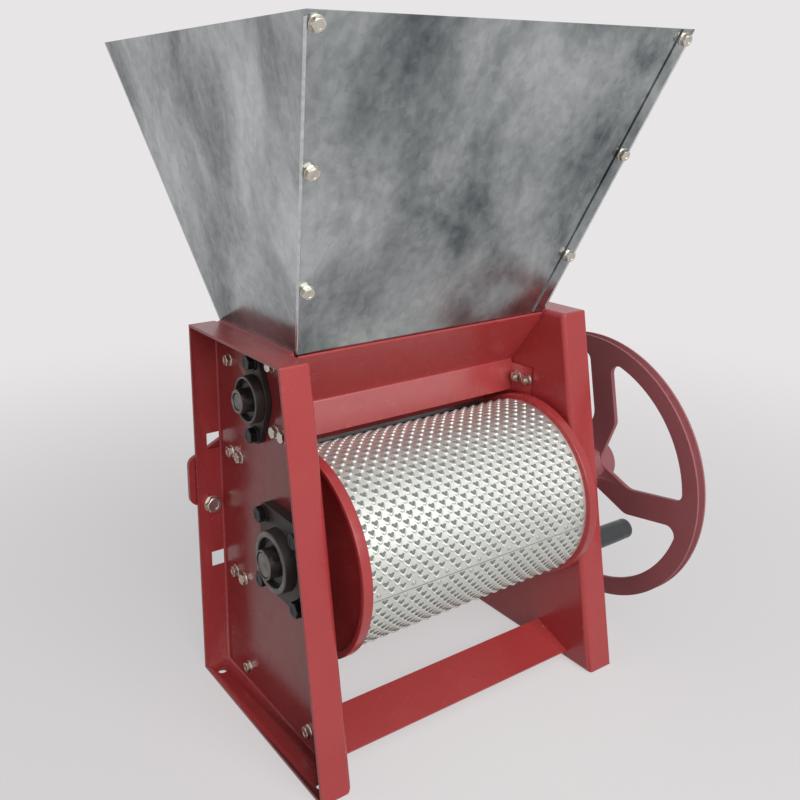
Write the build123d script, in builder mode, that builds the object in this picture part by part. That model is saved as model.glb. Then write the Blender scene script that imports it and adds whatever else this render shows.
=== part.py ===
from build123d import *
import math
import os

# Drum coffee pulper. Millimetres. X runs along the drum towards the flywheel, -Y is the front where
# the drum shows, +Z is up, and the origin lies on the floor in the middle of the four floor bolts.

# Side frames, each bent from one sheet with a flange all round
frame_height = 480.0
frame_width = 456.0
foot_depth = 307.0
head_depth = 236.0
flange_width = 40.0
plate_thickness = 4.0
bend_radius = 7.0
floor_hole_diameter = 12.0
floor_hole_margin = 14.0
floor_hole_inset = 25.5
window_width = 20.0
window_height = 22.0
window_rise = 6.5
shaft_hole_clearance = 3.0

# Drum: a punched sheet rolled round two discs on one shaft
drum_setback = 188.0
drum_axis_z = 235.0
drum_radius = 117.0
cover_thickness = 2.0
cover_clearance = 0.3
drum_gap_left = 13.5
drum_gap_right = 5.0
rim_radius = 124.0
rim_width = 13.0
rim_wall = 9.0
disc_recess = 9.0
disc_hub_radius = 30.0
spigot_length = 6.0
tooth_rows = 60
teeth_per_row = 10
tooth_width = 12.0
tooth_run = 8.5
tooth_height = 3.0
tooth_lean = 0.4
tooth_margin = 12.0
tooth_root = 0.6
shaft_clearance = 0.05
drum_shaft_diameter = 30.0

# Square four-bolt bearing units of the drum shaft
square_flange = 108.0
square_pitch = 83.0
square_corner = 14.0
square_flange_thickness = 13.0
square_boss_radius = 37.0
square_boss_height = 29.0
square_insert_radius = 29.0
square_race_radius = 17.5
square_race_height = 38.0

# Oval two-bolt bearing units of the feed shaft
oval_pitch = 90.0
oval_end_radius = 11.5
oval_boss_radius = 30.0
oval_flange_thickness = 8.0
oval_boss_height = 20.5
oval_insert_radius = 25.0
oval_race_radius = 14.5
oval_race_height = 31.0
insert_depth = 4.0
race_clearance = 0.1

# Feed roller above the drum
feed_setback = 120.5
feed_drop = 70.0
feed_shaft_diameter = 20.0
roller_core_radius = 13.0
roller_radius = 17.0
rib_count = 6
rib_width = 5.0
roller_end_gap = 3.0

# Throat below the hopper
throat_thickness = 2.5
throat_gap = 2.5
throat_joint = 2.5
throat_bend_z = 399.0
throat_bend_radius = 4.0
lip_clearance = 5.5
throat_tab = 44.0
apron_top_y = 84.0
apron_top_z = 350.0
apron_depth = 20.0
apron_clearance = 7.0
rear_tab = 26.0
rear_tab_top_z = 456.0
rear_tab_height = 40.0

# Hopper of four galvanised sheets
hopper_sheet = 1.5
hopper_height = 349.0
hopper_top_length = 516.0
hopper_front_top = 202.0
hopper_rear_top = 312.0
hopper_front_foot = 46.5
hopper_rear_foot = 143.5
hopper_dip = 12.0
hopper_flange = 19.0
hopper_seam_gap = 0.2
skirt_drop = 50.0
skirt_rear_y = 88.0

# Chutes near the floor
chute_thickness = 3.0
chute_length = 59.0
chute_slope = 20.3
chute_front_y = 56.8
chute_rear_y = 79.0
chute_top_z = 35.2
chute_tab_length = 30.0
chute_tab_drop = 20.0

# Breast behind the drum, with its clamp bolts and adjusting screws
breast_gap = 2.5
breast_thickness = 6.0
breast_top_angle = 40.0
breast_foot_angle = -43.0
breast_rib = 24.0
breast_travel = 8.0
ear_thickness = 4.0
ear_clearance = 0.3
ear_margin = 9.0
ear_rear_gap = 6.0
lug_reach = 48.3
lug_rise = 86.0
lug_drop = 22.0
lug_tip_top = 63.0
lug_tip_foot = 5.0
lug_corner = 12.0
lug_thickness = 6.0
lug_gap = 2.0
screw_inset = 16.0
screw_z = 235.0
screw_diameter = 12.0
screw_head_width = 19.0
screw_head_height = 8.0
screw_clearance = 0.1
screw_tail = 6.0
clamp_front_y = 92.0
clamp_rear_y = 116.5
clamp_upper_z = 315.0
clamp_lower_z = 149.0
clamp_diameter = 8.0
clamp_head_width = 13.0
clamp_head_height = 5.5
slot_clearance = 0.3

# Bolts of the bearing units
unit_bolt_width = 17.0
unit_bolt_height = 10.5
unit_nut_height = 9.0

# Flywheel with its V groove and four bent arms, and the crank grip on one of them
flywheel_radius = 190.5
flywheel_standoff = 103.0
flywheel_width = 16.5
flywheel_web = 6.5
groove_depth = 12.0
groove_mouth = 11.0
groove_floor = 4.5
rim_wall = 6.5
flywheel_rim_depth = 24.5
arm_count = 4
arm_width = 37.0
arm_bend_radius = 83.0
arm_lead_angle = 22.5
arm_turn_angle = 31.5
arm_fillet = 25.0
window_fillet = 12.0
hub_blend = 12.0
wheel_hub_radius = 31.0
hub_shoulder = 2.0
wheel_hub_outer = 12.5
wheel_hub_inner = 19.0
crank_radius = 140.0
crank_angle = -84.0
crank_boss_radius = 17.0
crank_boss_height = 8.5
crank_pin_diameter = 12.0
crank_head_diameter = 20.0
crank_head_height = 5.0
grip_diameter = 31.0
grip_length = 98.0
grip_chamfer = 5.0
grip_clearance = 0.1
grip_end_gap = 0.4

# Small belt drive from the drum shaft to the feed shaft
pulley_standoff = 46.0
pulley_width = 18.0
drive_pulley_radius = 35.0
feed_pulley_radius = 52.5
belt_width = 14.0
belt_thickness = 4.0
belt_clearance = 0.3

# Positions that follow from the sizes above
back_y = foot_depth / 2
foot_front_y = -foot_depth / 2
head_front_y = back_y - head_depth
plate_inner = frame_width / 2 - flange_width
plate_outer = plate_inner + plate_thickness
drum_y = back_y - drum_setback
feed_y = back_y - feed_setback
feed_axis_z = frame_height - feed_drop
drum_left = -plate_inner + drum_gap_left
drum_right = plate_inner - drum_gap_right
cover_left = drum_left + rim_width
cover_right = drum_right - rim_width
breast_radius = rim_radius + breast_gap
ear_outer = plate_inner - ear_clearance
ear_inner = ear_outer - ear_thickness
lug_y = back_y + lug_gap
lug_top_z = screw_z + lug_rise
lug_foot_z = screw_z - lug_drop
screw_x = plate_outer + screw_inset
wheel_x = plate_outer + flywheel_standoff
wheel_face = wheel_x + flywheel_width
web_face = wheel_x + flywheel_web
pulley_x = plate_outer + pulley_standoff
drum_centre = (0, drum_y, drum_axis_z)
feed_centre = (0, feed_y, feed_axis_z)
drum_plane = Plane(drum_centre, x_dir=(0, 1, 0), z_dir=(1, 0, 0))
feed_plane = Plane(feed_centre, x_dir=(0, 1, 0), z_dir=(1, 0, 0))
side_plane = Plane.YZ

os.makedirs("parts", exist_ok=True)


def write(builder, name):
    builder.part.label = name
    export_step(builder.part, f"parts/{name}.step", write_pcurves=False)


# Side frames. The left one is drawn as a solid block with rounded bends, hollowed from outside to the
# sheet thickness, and pierced for the shafts, the floor bolts and the breast with its clamps.
clamp_spots = [
    (y, z)
    for y in (clamp_front_y, clamp_rear_y)
    for z in (clamp_upper_z, clamp_lower_z)
]
with BuildPart() as side_frame_left:
    with BuildSketch(side_plane.offset(-frame_width / 2)):
        with BuildLine():
            Polyline(
                (foot_front_y, 0),
                (back_y, 0),
                (back_y, frame_height),
                (head_front_y, frame_height),
                close=True,
            )
        make_face()
    extrude(amount=flange_width)
    fillet(side_frame_left.faces().sort_by(Axis.X)[-1].edges(), bend_radius)
    offset(
        amount=-plate_thickness,
        openings=side_frame_left.faces().sort_by(Axis.X)[0],
    )
    with BuildSketch(drum_plane.offset(-plate_outer)):
        Circle(square_race_radius + shaft_hole_clearance)
    extrude(amount=plate_thickness, mode=Mode.SUBTRACT)
    with BuildSketch(feed_plane.offset(-plate_outer)):
        Circle(oval_race_radius + shaft_hole_clearance)
    extrude(amount=plate_thickness, mode=Mode.SUBTRACT)
    with BuildSketch(side_plane.offset(-plate_outer)):
        with Locations(*[(y + breast_travel / 2, z) for y, z in clamp_spots]):
            SlotCenterToCenter(breast_travel, clamp_diameter + 2 * slot_clearance)
    extrude(amount=plate_thickness, mode=Mode.SUBTRACT)
    with BuildSketch(Plane.XY):
        with Locations(
            (floor_hole_margin - frame_width / 2, foot_front_y + floor_hole_inset),
            (floor_hole_margin - frame_width / 2, back_y - floor_hole_inset),
        ):
            Circle(floor_hole_diameter / 2)
    extrude(amount=plate_thickness, mode=Mode.SUBTRACT)
    with BuildSketch(Plane.XZ.offset(-back_y)):
        with Locations(
            (-plate_outer - window_width / 2, clamp_upper_z + window_rise),
            (-plate_outer - window_width / 2, clamp_lower_z + window_rise),
        ):
            Rectangle(window_width, window_height)
        with Locations((-screw_x, screw_z)):
            Circle(screw_diameter / 2 + screw_clearance)
    extrude(amount=plate_thickness, mode=Mode.SUBTRACT)
write(side_frame_left, "side_frame_left")

with BuildPart() as side_frame_right:
    add(mirror(side_frame_left.part, about=Plane.YZ, mode=Mode.PRIVATE))
write(side_frame_right, "side_frame_right")

# Front throat plate: one sheet that leans back from the hopper, turns down in front of the feed roller
# and stops above the drum. A tab at each end lies flat on the side frame.
lip_back_y = feed_y - roller_radius - throat_gap
lip_front_y = lip_back_y - throat_thickness
lip_z = drum_axis_z + math.sqrt(rim_radius**2 - (lip_front_y - drum_y) ** 2) + lip_clearance
hopper_foot_z = frame_height - hopper_dip
front_lean = (hopper_front_top - hopper_front_foot) / hopper_height
rear_lean = (hopper_rear_top - hopper_rear_foot) / hopper_height
throat_front_top_y = -hopper_front_foot + front_lean * hopper_dip
throat_rear_top_y = hopper_rear_foot - rear_lean * hopper_dip
with BuildPart() as throat_front:
    with BuildSketch(side_plane.offset(-plate_inner)):
        with BuildLine():
            FilletPolyline(
                (throat_front_top_y, hopper_foot_z - throat_joint),
                (lip_front_y, throat_bend_z),
                (lip_front_y, lip_z),
                radius=throat_bend_radius,
            )
            offset(amount=throat_thickness, side=Side.LEFT)
        make_face()
    extrude(amount=2 * plate_inner)
    for start in (-plate_inner, plate_inner - throat_thickness):
        with BuildSketch(side_plane.offset(start)):
            with Locations((lip_back_y, lip_z)):
                Rectangle(
                    throat_tab,
                    throat_bend_z - lip_z - throat_bend_radius,
                    align=(Align.MAX, Align.MIN),
                )
        extrude(amount=throat_thickness)
write(throat_front, "throat_front")

# Rear throat plate, with an apron that leads down on to the breast and a tab at each end near the top
throat_top_z = hopper_foot_z - throat_joint
rear_slope = (throat_rear_top_y - apron_top_y) / (throat_top_z - apron_top_z)
breast_top_z = drum_axis_z + (breast_radius + breast_thickness) * math.sin(
    math.radians(breast_top_angle)
)
apron_foot_z = breast_top_z + apron_clearance
rear_tab_y = apron_top_y + rear_slope * (rear_tab_top_z - apron_top_z) + throat_thickness / 2
with BuildPart() as throat_rear:
    with BuildSketch(side_plane.offset(-plate_inner)):
        with BuildLine():
            FilletPolyline(
                (throat_rear_top_y, hopper_foot_z - throat_joint),
                (apron_top_y, apron_top_z),
                (apron_top_y - apron_depth, apron_foot_z),
                radius=throat_bend_radius,
            )
            offset(amount=throat_thickness, side=Side.LEFT)
        make_face()
    extrude(amount=2 * plate_inner)
    for start in (-plate_inner, plate_inner - throat_thickness):
        with BuildSketch(side_plane.offset(start)):
            with BuildLine():
                Polyline(
                    (rear_tab_y, rear_tab_top_z),
                    (rear_tab_y - rear_slope * rear_tab_height, rear_tab_top_z - rear_tab_height),
                    (rear_tab_y - rear_slope * rear_tab_height - rear_tab, rear_tab_top_z - rear_tab_height),
                    (rear_tab_y - rear_tab, rear_tab_top_z),
                    close=True,
                )
            make_face()
        extrude(amount=throat_thickness)
write(throat_rear, "throat_rear")

# Chutes: sloping tie sheets low in front of and behind the drum, each with a tab at both ends
chute_run = chute_length * math.cos(math.radians(chute_slope))
chute_fall = chute_length * math.sin(math.radians(chute_slope))


def chute(top_y, way):
    top_edge = (top_y, chute_top_z)
    low_edge = (top_y + way * chute_run, chute_top_z - chute_fall)
    under = chute_thickness * math.cos(math.radians(chute_slope))
    with BuildPart() as sheet:
        with BuildSketch(side_plane.offset(-plate_inner)):
            with BuildLine():
                Line(top_edge, low_edge)
                offset(amount=chute_thickness, side=Side.LEFT if way < 0 else Side.RIGHT)
            make_face()
        extrude(amount=2 * plate_inner)
        for start in (-plate_inner, plate_inner - chute_thickness):
            with BuildSketch(side_plane.offset(start)):
                with BuildLine():
                    Polyline(
                        top_edge,
                        (top_y + way * chute_tab_length, chute_top_z - chute_tab_length * chute_fall / chute_run),
                        (top_y + way * chute_tab_length, chute_top_z - under - chute_tab_drop),
                        (top_y, chute_top_z - under - chute_tab_drop),
                        close=True,
                    )
                make_face()
            extrude(amount=chute_thickness)
    return sheet


chute_front = chute(-chute_front_y, -1)
write(chute_front, "chute_front")
chute_rear = chute(chute_rear_y, 1)
write(chute_rear, "chute_rear")

# Hopper. The front and rear sheets lie between the end sheets, whose flanges wrap over them. The end
# sheets go down inside the side frames as bolted skirts.
end_lean = (hopper_top_length / 2 - plate_inner) / hopper_height
end_slant = math.hypot(1, end_lean)
front_slant = math.hypot(1, front_lean)
rear_slant = math.hypot(1, rear_lean)
inner_half = plate_inner - hopper_sheet * end_slant


def long_sheet(foot_y, lean, way):
    # way is -1 for the front sheet and 1 for the rear one; local y runs up the slope
    slant = math.hypot(1, lean)
    plane = Plane(
        (0, way * (foot_y - lean * hopper_dip), hopper_foot_z),
        x_dir=(-way, 0, 0),
        z_dir=(0, way, -lean),
    )
    low = inner_half - hopper_seam_gap
    high = low + end_lean * hopper_height
    with BuildPart() as sheet:
        with BuildSketch(plane):
            with BuildLine():
                Polyline(
                    (-low, 0),
                    (low, 0),
                    (low, hopper_dip * slant),
                    (high, (hopper_dip + hopper_height) * slant),
                    (-high, (hopper_dip + hopper_height) * slant),
                    (-low, hopper_dip * slant),
                    close=True,
                )
            make_face()
        extrude(amount=-hopper_sheet)
    return sheet


hopper_front = long_sheet(hopper_front_foot, front_lean, -1)
write(hopper_front, "hopper_front")
hopper_rear = long_sheet(hopper_rear_foot, rear_lean, 1)
write(hopper_rear, "hopper_rear")

wrap = hopper_sheet + hopper_seam_gap
end_plane = Plane((-plate_inner, 0, frame_height), x_dir=(0, -1, 0), z_dir=(-1, 0, -end_lean))
with BuildPart() as hopper_left:
    with BuildSketch(end_plane):
        with BuildLine():
            Polyline(
                (hopper_front_foot + wrap * front_slant, 0),
                (hopper_front_top + wrap * front_slant, hopper_height * end_slant),
                (-hopper_rear_top - wrap * rear_slant, hopper_height * end_slant),
                (-hopper_rear_foot - wrap * rear_slant, 0),
                close=True,
            )
        make_face()
    extrude(amount=-hopper_sheet)
    for foot_y, lean, way in (
        (hopper_front_foot, front_lean, -1),
        (hopper_rear_foot, rear_lean, 1),
    ):
        slant = math.hypot(1, lean)
        lap_plane = Plane(
            (0, way * (foot_y + hopper_seam_gap * slant), frame_height),
            x_dir=(1, 0, 0),
            z_dir=(0, -way, lean),
        )
        with BuildSketch(lap_plane):
            with BuildLine():
                Polyline(
                    (-plate_inner, 0),
                    (-plate_inner + hopper_flange, 0),
                    (-plate_inner - end_lean * hopper_height + hopper_flange, way * hopper_height * slant),
                    (-plate_inner - end_lean * hopper_height, way * hopper_height * slant),
                    close=True,
                )
            make_face()
        extrude(amount=-hopper_sheet)
    skirt_top_front = throat_front_top_y + (throat_thickness + hopper_sheet) * 2
    skirt_foot_z = frame_height - skirt_drop
    throat_slope = (lip_front_y - throat_front_top_y) / (throat_top_z - throat_bend_z)
    with BuildSketch(side_plane.offset(-plate_inner)):
        with BuildLine():
            Polyline(
                (skirt_top_front, frame_height + hopper_sheet),
                (skirt_top_front, hopper_foot_z),
                (skirt_top_front + throat_slope * (hopper_foot_z - skirt_foot_z), skirt_foot_z),
                (skirt_rear_y, skirt_foot_z),
                (skirt_rear_y, frame_height + hopper_sheet),
                close=True,
            )
        make_face()
    extrude(amount=hopper_sheet)
write(hopper_left, "hopper_left")

with BuildPart() as hopper_right:
    add(mirror(hopper_left.part, about=Plane.YZ, mode=Mode.PRIVATE))
write(hopper_right, "hopper_right")

# Bearing units: cast housings bolted to the outside of the side frames
with BuildPart() as drum_bearing_left:
    with BuildSketch(drum_plane.offset(-plate_outer)):
        RectangleRounded(square_flange, square_flange, square_corner)
    extrude(amount=-square_flange_thickness)
    with BuildSketch(drum_plane.offset(-plate_outer)):
        Circle(square_boss_radius)
    extrude(amount=-square_boss_height)
    with BuildSketch(drum_plane.offset(-plate_outer - square_boss_height)):
        Circle(square_insert_radius)
    extrude(amount=insert_depth, mode=Mode.SUBTRACT)
    with BuildSketch(drum_plane.offset(-plate_outer)):
        Circle(square_race_radius + race_clearance)
    extrude(amount=-square_boss_height, mode=Mode.SUBTRACT)
write(drum_bearing_left, "drum_bearing_left")

with BuildPart() as drum_bearing_right:
    add(mirror(drum_bearing_left.part, about=Plane.YZ, mode=Mode.PRIVATE))
write(drum_bearing_right, "drum_bearing_right")

with BuildPart() as feed_bearing_left:
    with BuildSketch(feed_plane.offset(-plate_outer)):
        Circle(oval_boss_radius)
        with Locations((0, oval_pitch / 2), (0, -oval_pitch / 2)):
            Circle(oval_end_radius)
        make_hull()
    extrude(amount=-oval_flange_thickness)
    with BuildSketch(feed_plane.offset(-plate_outer - oval_flange_thickness)):
        Circle(oval_boss_radius)
    extrude(amount=oval_flange_thickness - oval_boss_height)
    with BuildSketch(feed_plane.offset(-plate_outer - oval_boss_height)):
        Circle(oval_insert_radius)
    extrude(amount=insert_depth, mode=Mode.SUBTRACT)
    with BuildSketch(feed_plane.offset(-plate_outer)):
        Circle(oval_race_radius + race_clearance)
    extrude(amount=-oval_boss_height, mode=Mode.SUBTRACT)
write(feed_bearing_left, "feed_bearing_left")

with BuildPart() as feed_bearing_right:
    add(mirror(feed_bearing_left.part, about=Plane.YZ, mode=Mode.PRIVATE))
write(feed_bearing_right, "feed_bearing_right")

# Heads and nuts of the bearing bolts, on both faces of each joint
with BuildPart() as drum_bearing_bolts:
    for side in (-1, 1):
        with BuildSketch(drum_plane.offset(side * (plate_outer + square_flange_thickness))):
            with GridLocations(square_pitch, square_pitch, 2, 2):
                RegularPolygon(unit_bolt_width / 2, 6, major_radius=False)
        extrude(amount=side * unit_bolt_height)
        with BuildSketch(drum_plane.offset(side * plate_inner)):
            with GridLocations(square_pitch, square_pitch, 2, 2):
                RegularPolygon(unit_bolt_width / 2, 6, major_radius=False)
        extrude(amount=-side * unit_nut_height)
write(drum_bearing_bolts, "drum_bearing_bolts")

with BuildPart() as feed_bearing_bolts:
    for side in (-1, 1):
        with BuildSketch(feed_plane.offset(side * (plate_outer + oval_flange_thickness))):
            with GridLocations(oval_pitch, oval_pitch, 1, 2):
                RegularPolygon(unit_bolt_width / 2, 6, major_radius=False)
        extrude(amount=side * unit_bolt_height)
        with BuildSketch(feed_plane.offset(side * plate_inner)):
            with Locations((0, -oval_pitch / 2)):
                RegularPolygon(unit_bolt_width / 2, 6, major_radius=False)
        extrude(amount=-side * unit_nut_height)
        with BuildSketch(feed_plane.offset(side * (plate_inner - hopper_sheet))):
            with Locations((0, oval_pitch / 2)):
                RegularPolygon(unit_bolt_width / 2, 6, major_radius=False)
        extrude(amount=-side * unit_nut_height)
write(feed_bearing_bolts, "feed_bearing_bolts")

# Drum shaft with the inner races that turn with it
wheel_hub_end = wheel_face + wheel_hub_outer
with BuildPart() as drum_shaft:
    with BuildSketch(drum_plane.offset(-plate_outer - square_race_height)):
        Circle(drum_shaft_diameter / 2)
    extrude(amount=plate_outer + square_race_height + wheel_hub_end)
    for side in (-1, 1):
        with BuildSketch(drum_plane.offset(side * plate_outer)):
            Circle(square_race_radius)
        extrude(amount=side * square_race_height)
write(drum_shaft, "drum_shaft")

# End discs of the drum, with a raised rim that guards the ends of the punched sheet
with BuildPart() as drum_disc_left:
    with BuildSketch(Plane.XZ.offset(-drum_y)):
        with BuildLine():
            Polyline(
                (drum_left, drum_axis_z + rim_radius),
                (cover_left, drum_axis_z + rim_radius),
                (cover_left, drum_axis_z + drum_radius - cover_thickness - cover_clearance),
                (cover_left + spigot_length, drum_axis_z + drum_radius - cover_thickness - cover_clearance),
                (cover_left + spigot_length, drum_axis_z + drum_shaft_diameter / 2 + shaft_clearance),
                (drum_left, drum_axis_z + drum_shaft_diameter / 2 + shaft_clearance),
                (drum_left, drum_axis_z + disc_hub_radius),
                (drum_left + disc_recess, drum_axis_z + disc_hub_radius),
                (drum_left + disc_recess, drum_axis_z + rim_radius - rim_wall),
                (drum_left, drum_axis_z + rim_radius - rim_wall),
                close=True,
            )
        make_face()
    revolve(axis=Axis(drum_centre, (1, 0, 0)))
write(drum_disc_left, "drum_disc_left")

drum_middle = Plane(((drum_left + drum_right) / 2, 0, 0), x_dir=(0, 1, 0), z_dir=(1, 0, 0))
with BuildPart() as drum_disc_right:
    add(mirror(drum_disc_left.part, about=drum_middle, mode=Mode.PRIVATE))
write(drum_disc_right, "drum_disc_right")

# Punched cover. The rolled sheet has one narrow flat for each row of teeth. A tooth is a pointed ramp
# that ends in a raised lip facing down the front of the drum, and rows are staggered by half a pitch.
row_flat = 2 * drum_radius * math.tan(math.pi / tooth_rows)
tooth_pitch = (cover_right - cover_left - 2 * tooth_margin) / (teeth_per_row - 0.5)
tooth_foot = -tooth_run / 2
tooth_grow = (tooth_height + tooth_root) / tooth_height
tip_y = tooth_foot + tooth_lean
with BuildPart() as tooth:
    with BuildSketch(Plane.XY.offset(-tooth_root)) as tooth_base:
        with BuildLine():
            Polyline(
                (-tooth_width / 2 * tooth_grow, tip_y - tooth_lean * tooth_grow),
                (tooth_width / 2 * tooth_grow, tip_y - tooth_lean * tooth_grow),
                (0, tip_y + (tooth_run - tooth_lean) * tooth_grow),
                close=True,
            )
        make_face()
    loft(sections=[tooth_base.sketch.face(), Vertex(0, tip_y, tooth_height)])

tooth_places = []
for row in range(tooth_rows):
    turn = 2 * math.pi * row / tooth_rows
    outward = (0, math.cos(turn), math.sin(turn))
    first = cover_left + tooth_margin + (row % 2) * tooth_pitch / 2
    for number in range(teeth_per_row):
        spot = (
            first + number * tooth_pitch,
            drum_y + drum_radius * outward[1],
            drum_axis_z + drum_radius * outward[2],
        )
        tooth_places.append(Location(Plane(spot, x_dir=(1, 0, 0), z_dir=outward)))

with BuildPart() as drum_cover:
    with BuildSketch(drum_plane.offset(cover_left)):
        RegularPolygon(drum_radius, tooth_rows, major_radius=False, rotation=180 / tooth_rows)
        RegularPolygon(
            drum_radius - cover_thickness,
            tooth_rows,
            major_radius=False,
            rotation=180 / tooth_rows,
            mode=Mode.SUBTRACT,
        )
    extrude(amount=cover_right - cover_left)
    with Locations(tooth_places):
        add(tooth.part)
write(drum_cover, "drum_cover")

# Feed shaft and its ribbed roller in the throat
feed_shaft_end = pulley_x + pulley_width
with BuildPart() as feed_shaft:
    with BuildSketch(feed_plane.offset(-plate_outer - oval_race_height)):
        Circle(feed_shaft_diameter / 2)
    extrude(amount=plate_outer + oval_race_height + feed_shaft_end)
    for side in (-1, 1):
        with BuildSketch(feed_plane.offset(side * plate_outer)):
            Circle(oval_race_radius)
        extrude(amount=side * oval_race_height)
write(feed_shaft, "feed_shaft")

with BuildPart() as feed_roller:
    with BuildSketch(feed_plane.offset(-plate_inner + roller_end_gap)):
        Circle(roller_core_radius)
        with PolarLocations(0, rib_count):
            Rectangle(roller_radius, rib_width, align=(Align.MIN, Align.CENTER))
        Circle(feed_shaft_diameter / 2 + shaft_clearance, mode=Mode.SUBTRACT)
    extrude(amount=2 * (plate_inner - roller_end_gap))
write(feed_roller, "feed_roller")

# Flywheel: a rim with a V groove, a thin web flush with its inner side and a long hub; the web is cut into
# four arms that leave the hub at a lead and bend back to meet the rim
rim_bore = flywheel_radius - flywheel_rim_depth
rim_inner = flywheel_radius - groove_depth - rim_wall
groove_x = wheel_x + flywheel_width / 2
with BuildPart() as flywheel:
    with BuildSketch(Plane.XZ.offset(-drum_y)):
        with BuildLine():
            Polyline(
                (wheel_x, drum_axis_z + wheel_hub_radius),
                (wheel_x, drum_axis_z + flywheel_radius),
                (groove_x - groove_mouth / 2, drum_axis_z + flywheel_radius),
                (groove_x - groove_floor / 2, drum_axis_z + flywheel_radius - groove_depth),
                (groove_x + groove_floor / 2, drum_axis_z + flywheel_radius - groove_depth),
                (groove_x + groove_mouth / 2, drum_axis_z + flywheel_radius),
                (wheel_face, drum_axis_z + flywheel_radius),
                (wheel_face, drum_axis_z + rim_inner),
                (web_face, drum_axis_z + rim_inner),
                (web_face, drum_axis_z + wheel_hub_radius),
                (wheel_hub_end, drum_axis_z + wheel_hub_radius),
                (wheel_hub_end, drum_axis_z + drum_shaft_diameter / 2 + shaft_clearance),
                (wheel_x - wheel_hub_inner, drum_axis_z + drum_shaft_diameter / 2 + shaft_clearance),
                (wheel_x - wheel_hub_inner, drum_axis_z + wheel_hub_radius),
                close=True,
            )
        make_face()
    revolve(axis=Axis(drum_centre, (1, 0, 0)))
    with BuildSketch(drum_plane.offset(wheel_x)) as windows:
        Circle(rim_bore)
        Circle(wheel_hub_radius + hub_shoulder, mode=Mode.SUBTRACT)
        with PolarLocations(0, arm_count, start_angle=arm_lead_angle):
            Rectangle(arm_bend_radius, arm_width, align=(Align.MIN, Align.CENTER), mode=Mode.SUBTRACT)
        with PolarLocations(arm_bend_radius, arm_count, start_angle=arm_lead_angle):
            Circle(arm_width / 2, mode=Mode.SUBTRACT)
            Rectangle(
                flywheel_radius, arm_width, -arm_turn_angle, align=(Align.MIN, Align.CENTER), mode=Mode.SUBTRACT
            )
        near_rim = (rim_bore + arm_bend_radius) / 2
        near_hub = (wheel_hub_radius + arm_bend_radius) / 2
        fillet(windows.vertices().filter_by(lambda v: v.center().length > near_rim), window_fillet)
        fillet(windows.vertices().filter_by(lambda v: near_hub < v.center().length < arm_bend_radius), arm_fillet)
        fillet(windows.vertices().filter_by(lambda v: v.center().length < near_hub), hub_blend)
    extrude(amount=flywheel_web, mode=Mode.SUBTRACT)
    with BuildSketch(drum_plane.offset(wheel_x)):
        with PolarLocations(crank_radius, 1, start_angle=crank_angle):
            Circle(crank_boss_radius)
    extrude(amount=flywheel_web + crank_boss_height)
    with BuildSketch(drum_plane.offset(wheel_x)):
        with PolarLocations(crank_radius, 1, start_angle=crank_angle):
            Circle(crank_pin_diameter / 2 + shaft_clearance)
    extrude(amount=flywheel_web + crank_boss_height, mode=Mode.SUBTRACT)
write(flywheel, "flywheel")

# Crank pin through the boss on one arm, and the grip that turns on it under the pin's head
crank_y = drum_y + crank_radius * math.cos(math.radians(crank_angle))
crank_z = drum_axis_z + crank_radius * math.sin(math.radians(crank_angle))
crank_axis = Axis((0, crank_y, crank_z), (1, 0, 0))
grip_start = web_face + crank_boss_height + grip_end_gap
grip_end = grip_start + grip_length
head_start = grip_end - crank_head_height
with BuildPart() as crank_pin:
    with BuildSketch(Plane.XZ.offset(-crank_y)):
        with BuildLine():
            Polyline(
                (wheel_x, crank_z),
                (wheel_x, crank_z + crank_pin_diameter / 2),
                (head_start, crank_z + crank_pin_diameter / 2),
                (head_start, crank_z + crank_head_diameter / 2),
                (grip_end, crank_z + crank_head_diameter / 2),
                (grip_end, crank_z),
                close=True,
            )
        make_face()
    revolve(axis=crank_axis)
write(crank_pin, "crank_pin")

with BuildPart() as crank_grip:
    with BuildSketch(Plane.XZ.offset(-crank_y)):
        with BuildLine():
            Polyline(
                (grip_start, crank_z + crank_pin_diameter / 2 + grip_clearance),
                (grip_start, crank_z + grip_diameter / 2),
                (grip_end - grip_chamfer, crank_z + grip_diameter / 2),
                (grip_end, crank_z + grip_diameter / 2 - grip_chamfer / 2),
                (grip_end, crank_z + crank_head_diameter / 2 + grip_end_gap),
                (head_start - grip_end_gap, crank_z + crank_head_diameter / 2 + grip_end_gap),
                (head_start - grip_end_gap, crank_z + crank_pin_diameter / 2 + grip_clearance),
                close=True,
            )
        make_face()
    revolve(axis=crank_axis)
write(crank_grip, "crank_grip")

# Belt drive to the feed roller: two plain pulleys and a flat belt round them
def pulley(plane, radius, bore):
    with BuildPart() as wheel:
        with BuildSketch(plane.offset(pulley_x)):
            Circle(radius)
            Circle(bore, mode=Mode.SUBTRACT)
        extrude(amount=pulley_width)
    return wheel


drive_pulley = pulley(drum_plane, drive_pulley_radius, drum_shaft_diameter / 2 + shaft_clearance)
write(drive_pulley, "drive_pulley")
feed_pulley = pulley(feed_plane, feed_pulley_radius, feed_shaft_diameter / 2 + shaft_clearance)
write(feed_pulley, "feed_pulley")

belt_start = pulley_x + (pulley_width - belt_width) / 2
with BuildPart() as feed_belt:
    for grow, how in ((belt_clearance + belt_thickness, Mode.ADD), (belt_clearance, Mode.SUBTRACT)):
        with BuildSketch(side_plane.offset(belt_start)):
            with Locations((drum_y, drum_axis_z)):
                Circle(drive_pulley_radius + grow)
            with Locations((feed_y, feed_axis_z)):
                Circle(feed_pulley_radius + grow)
            make_hull()
        extrude(amount=belt_width, mode=how)
write(feed_belt, "feed_belt")

# Breast: the curved plate that squeezes the cherries against the back of the drum, with a stiffening
# rib along its top and foot
def polar(radius, degrees):
    return (
        drum_y + radius * math.cos(math.radians(degrees)),
        drum_axis_z + radius * math.sin(math.radians(degrees)),
    )


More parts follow.
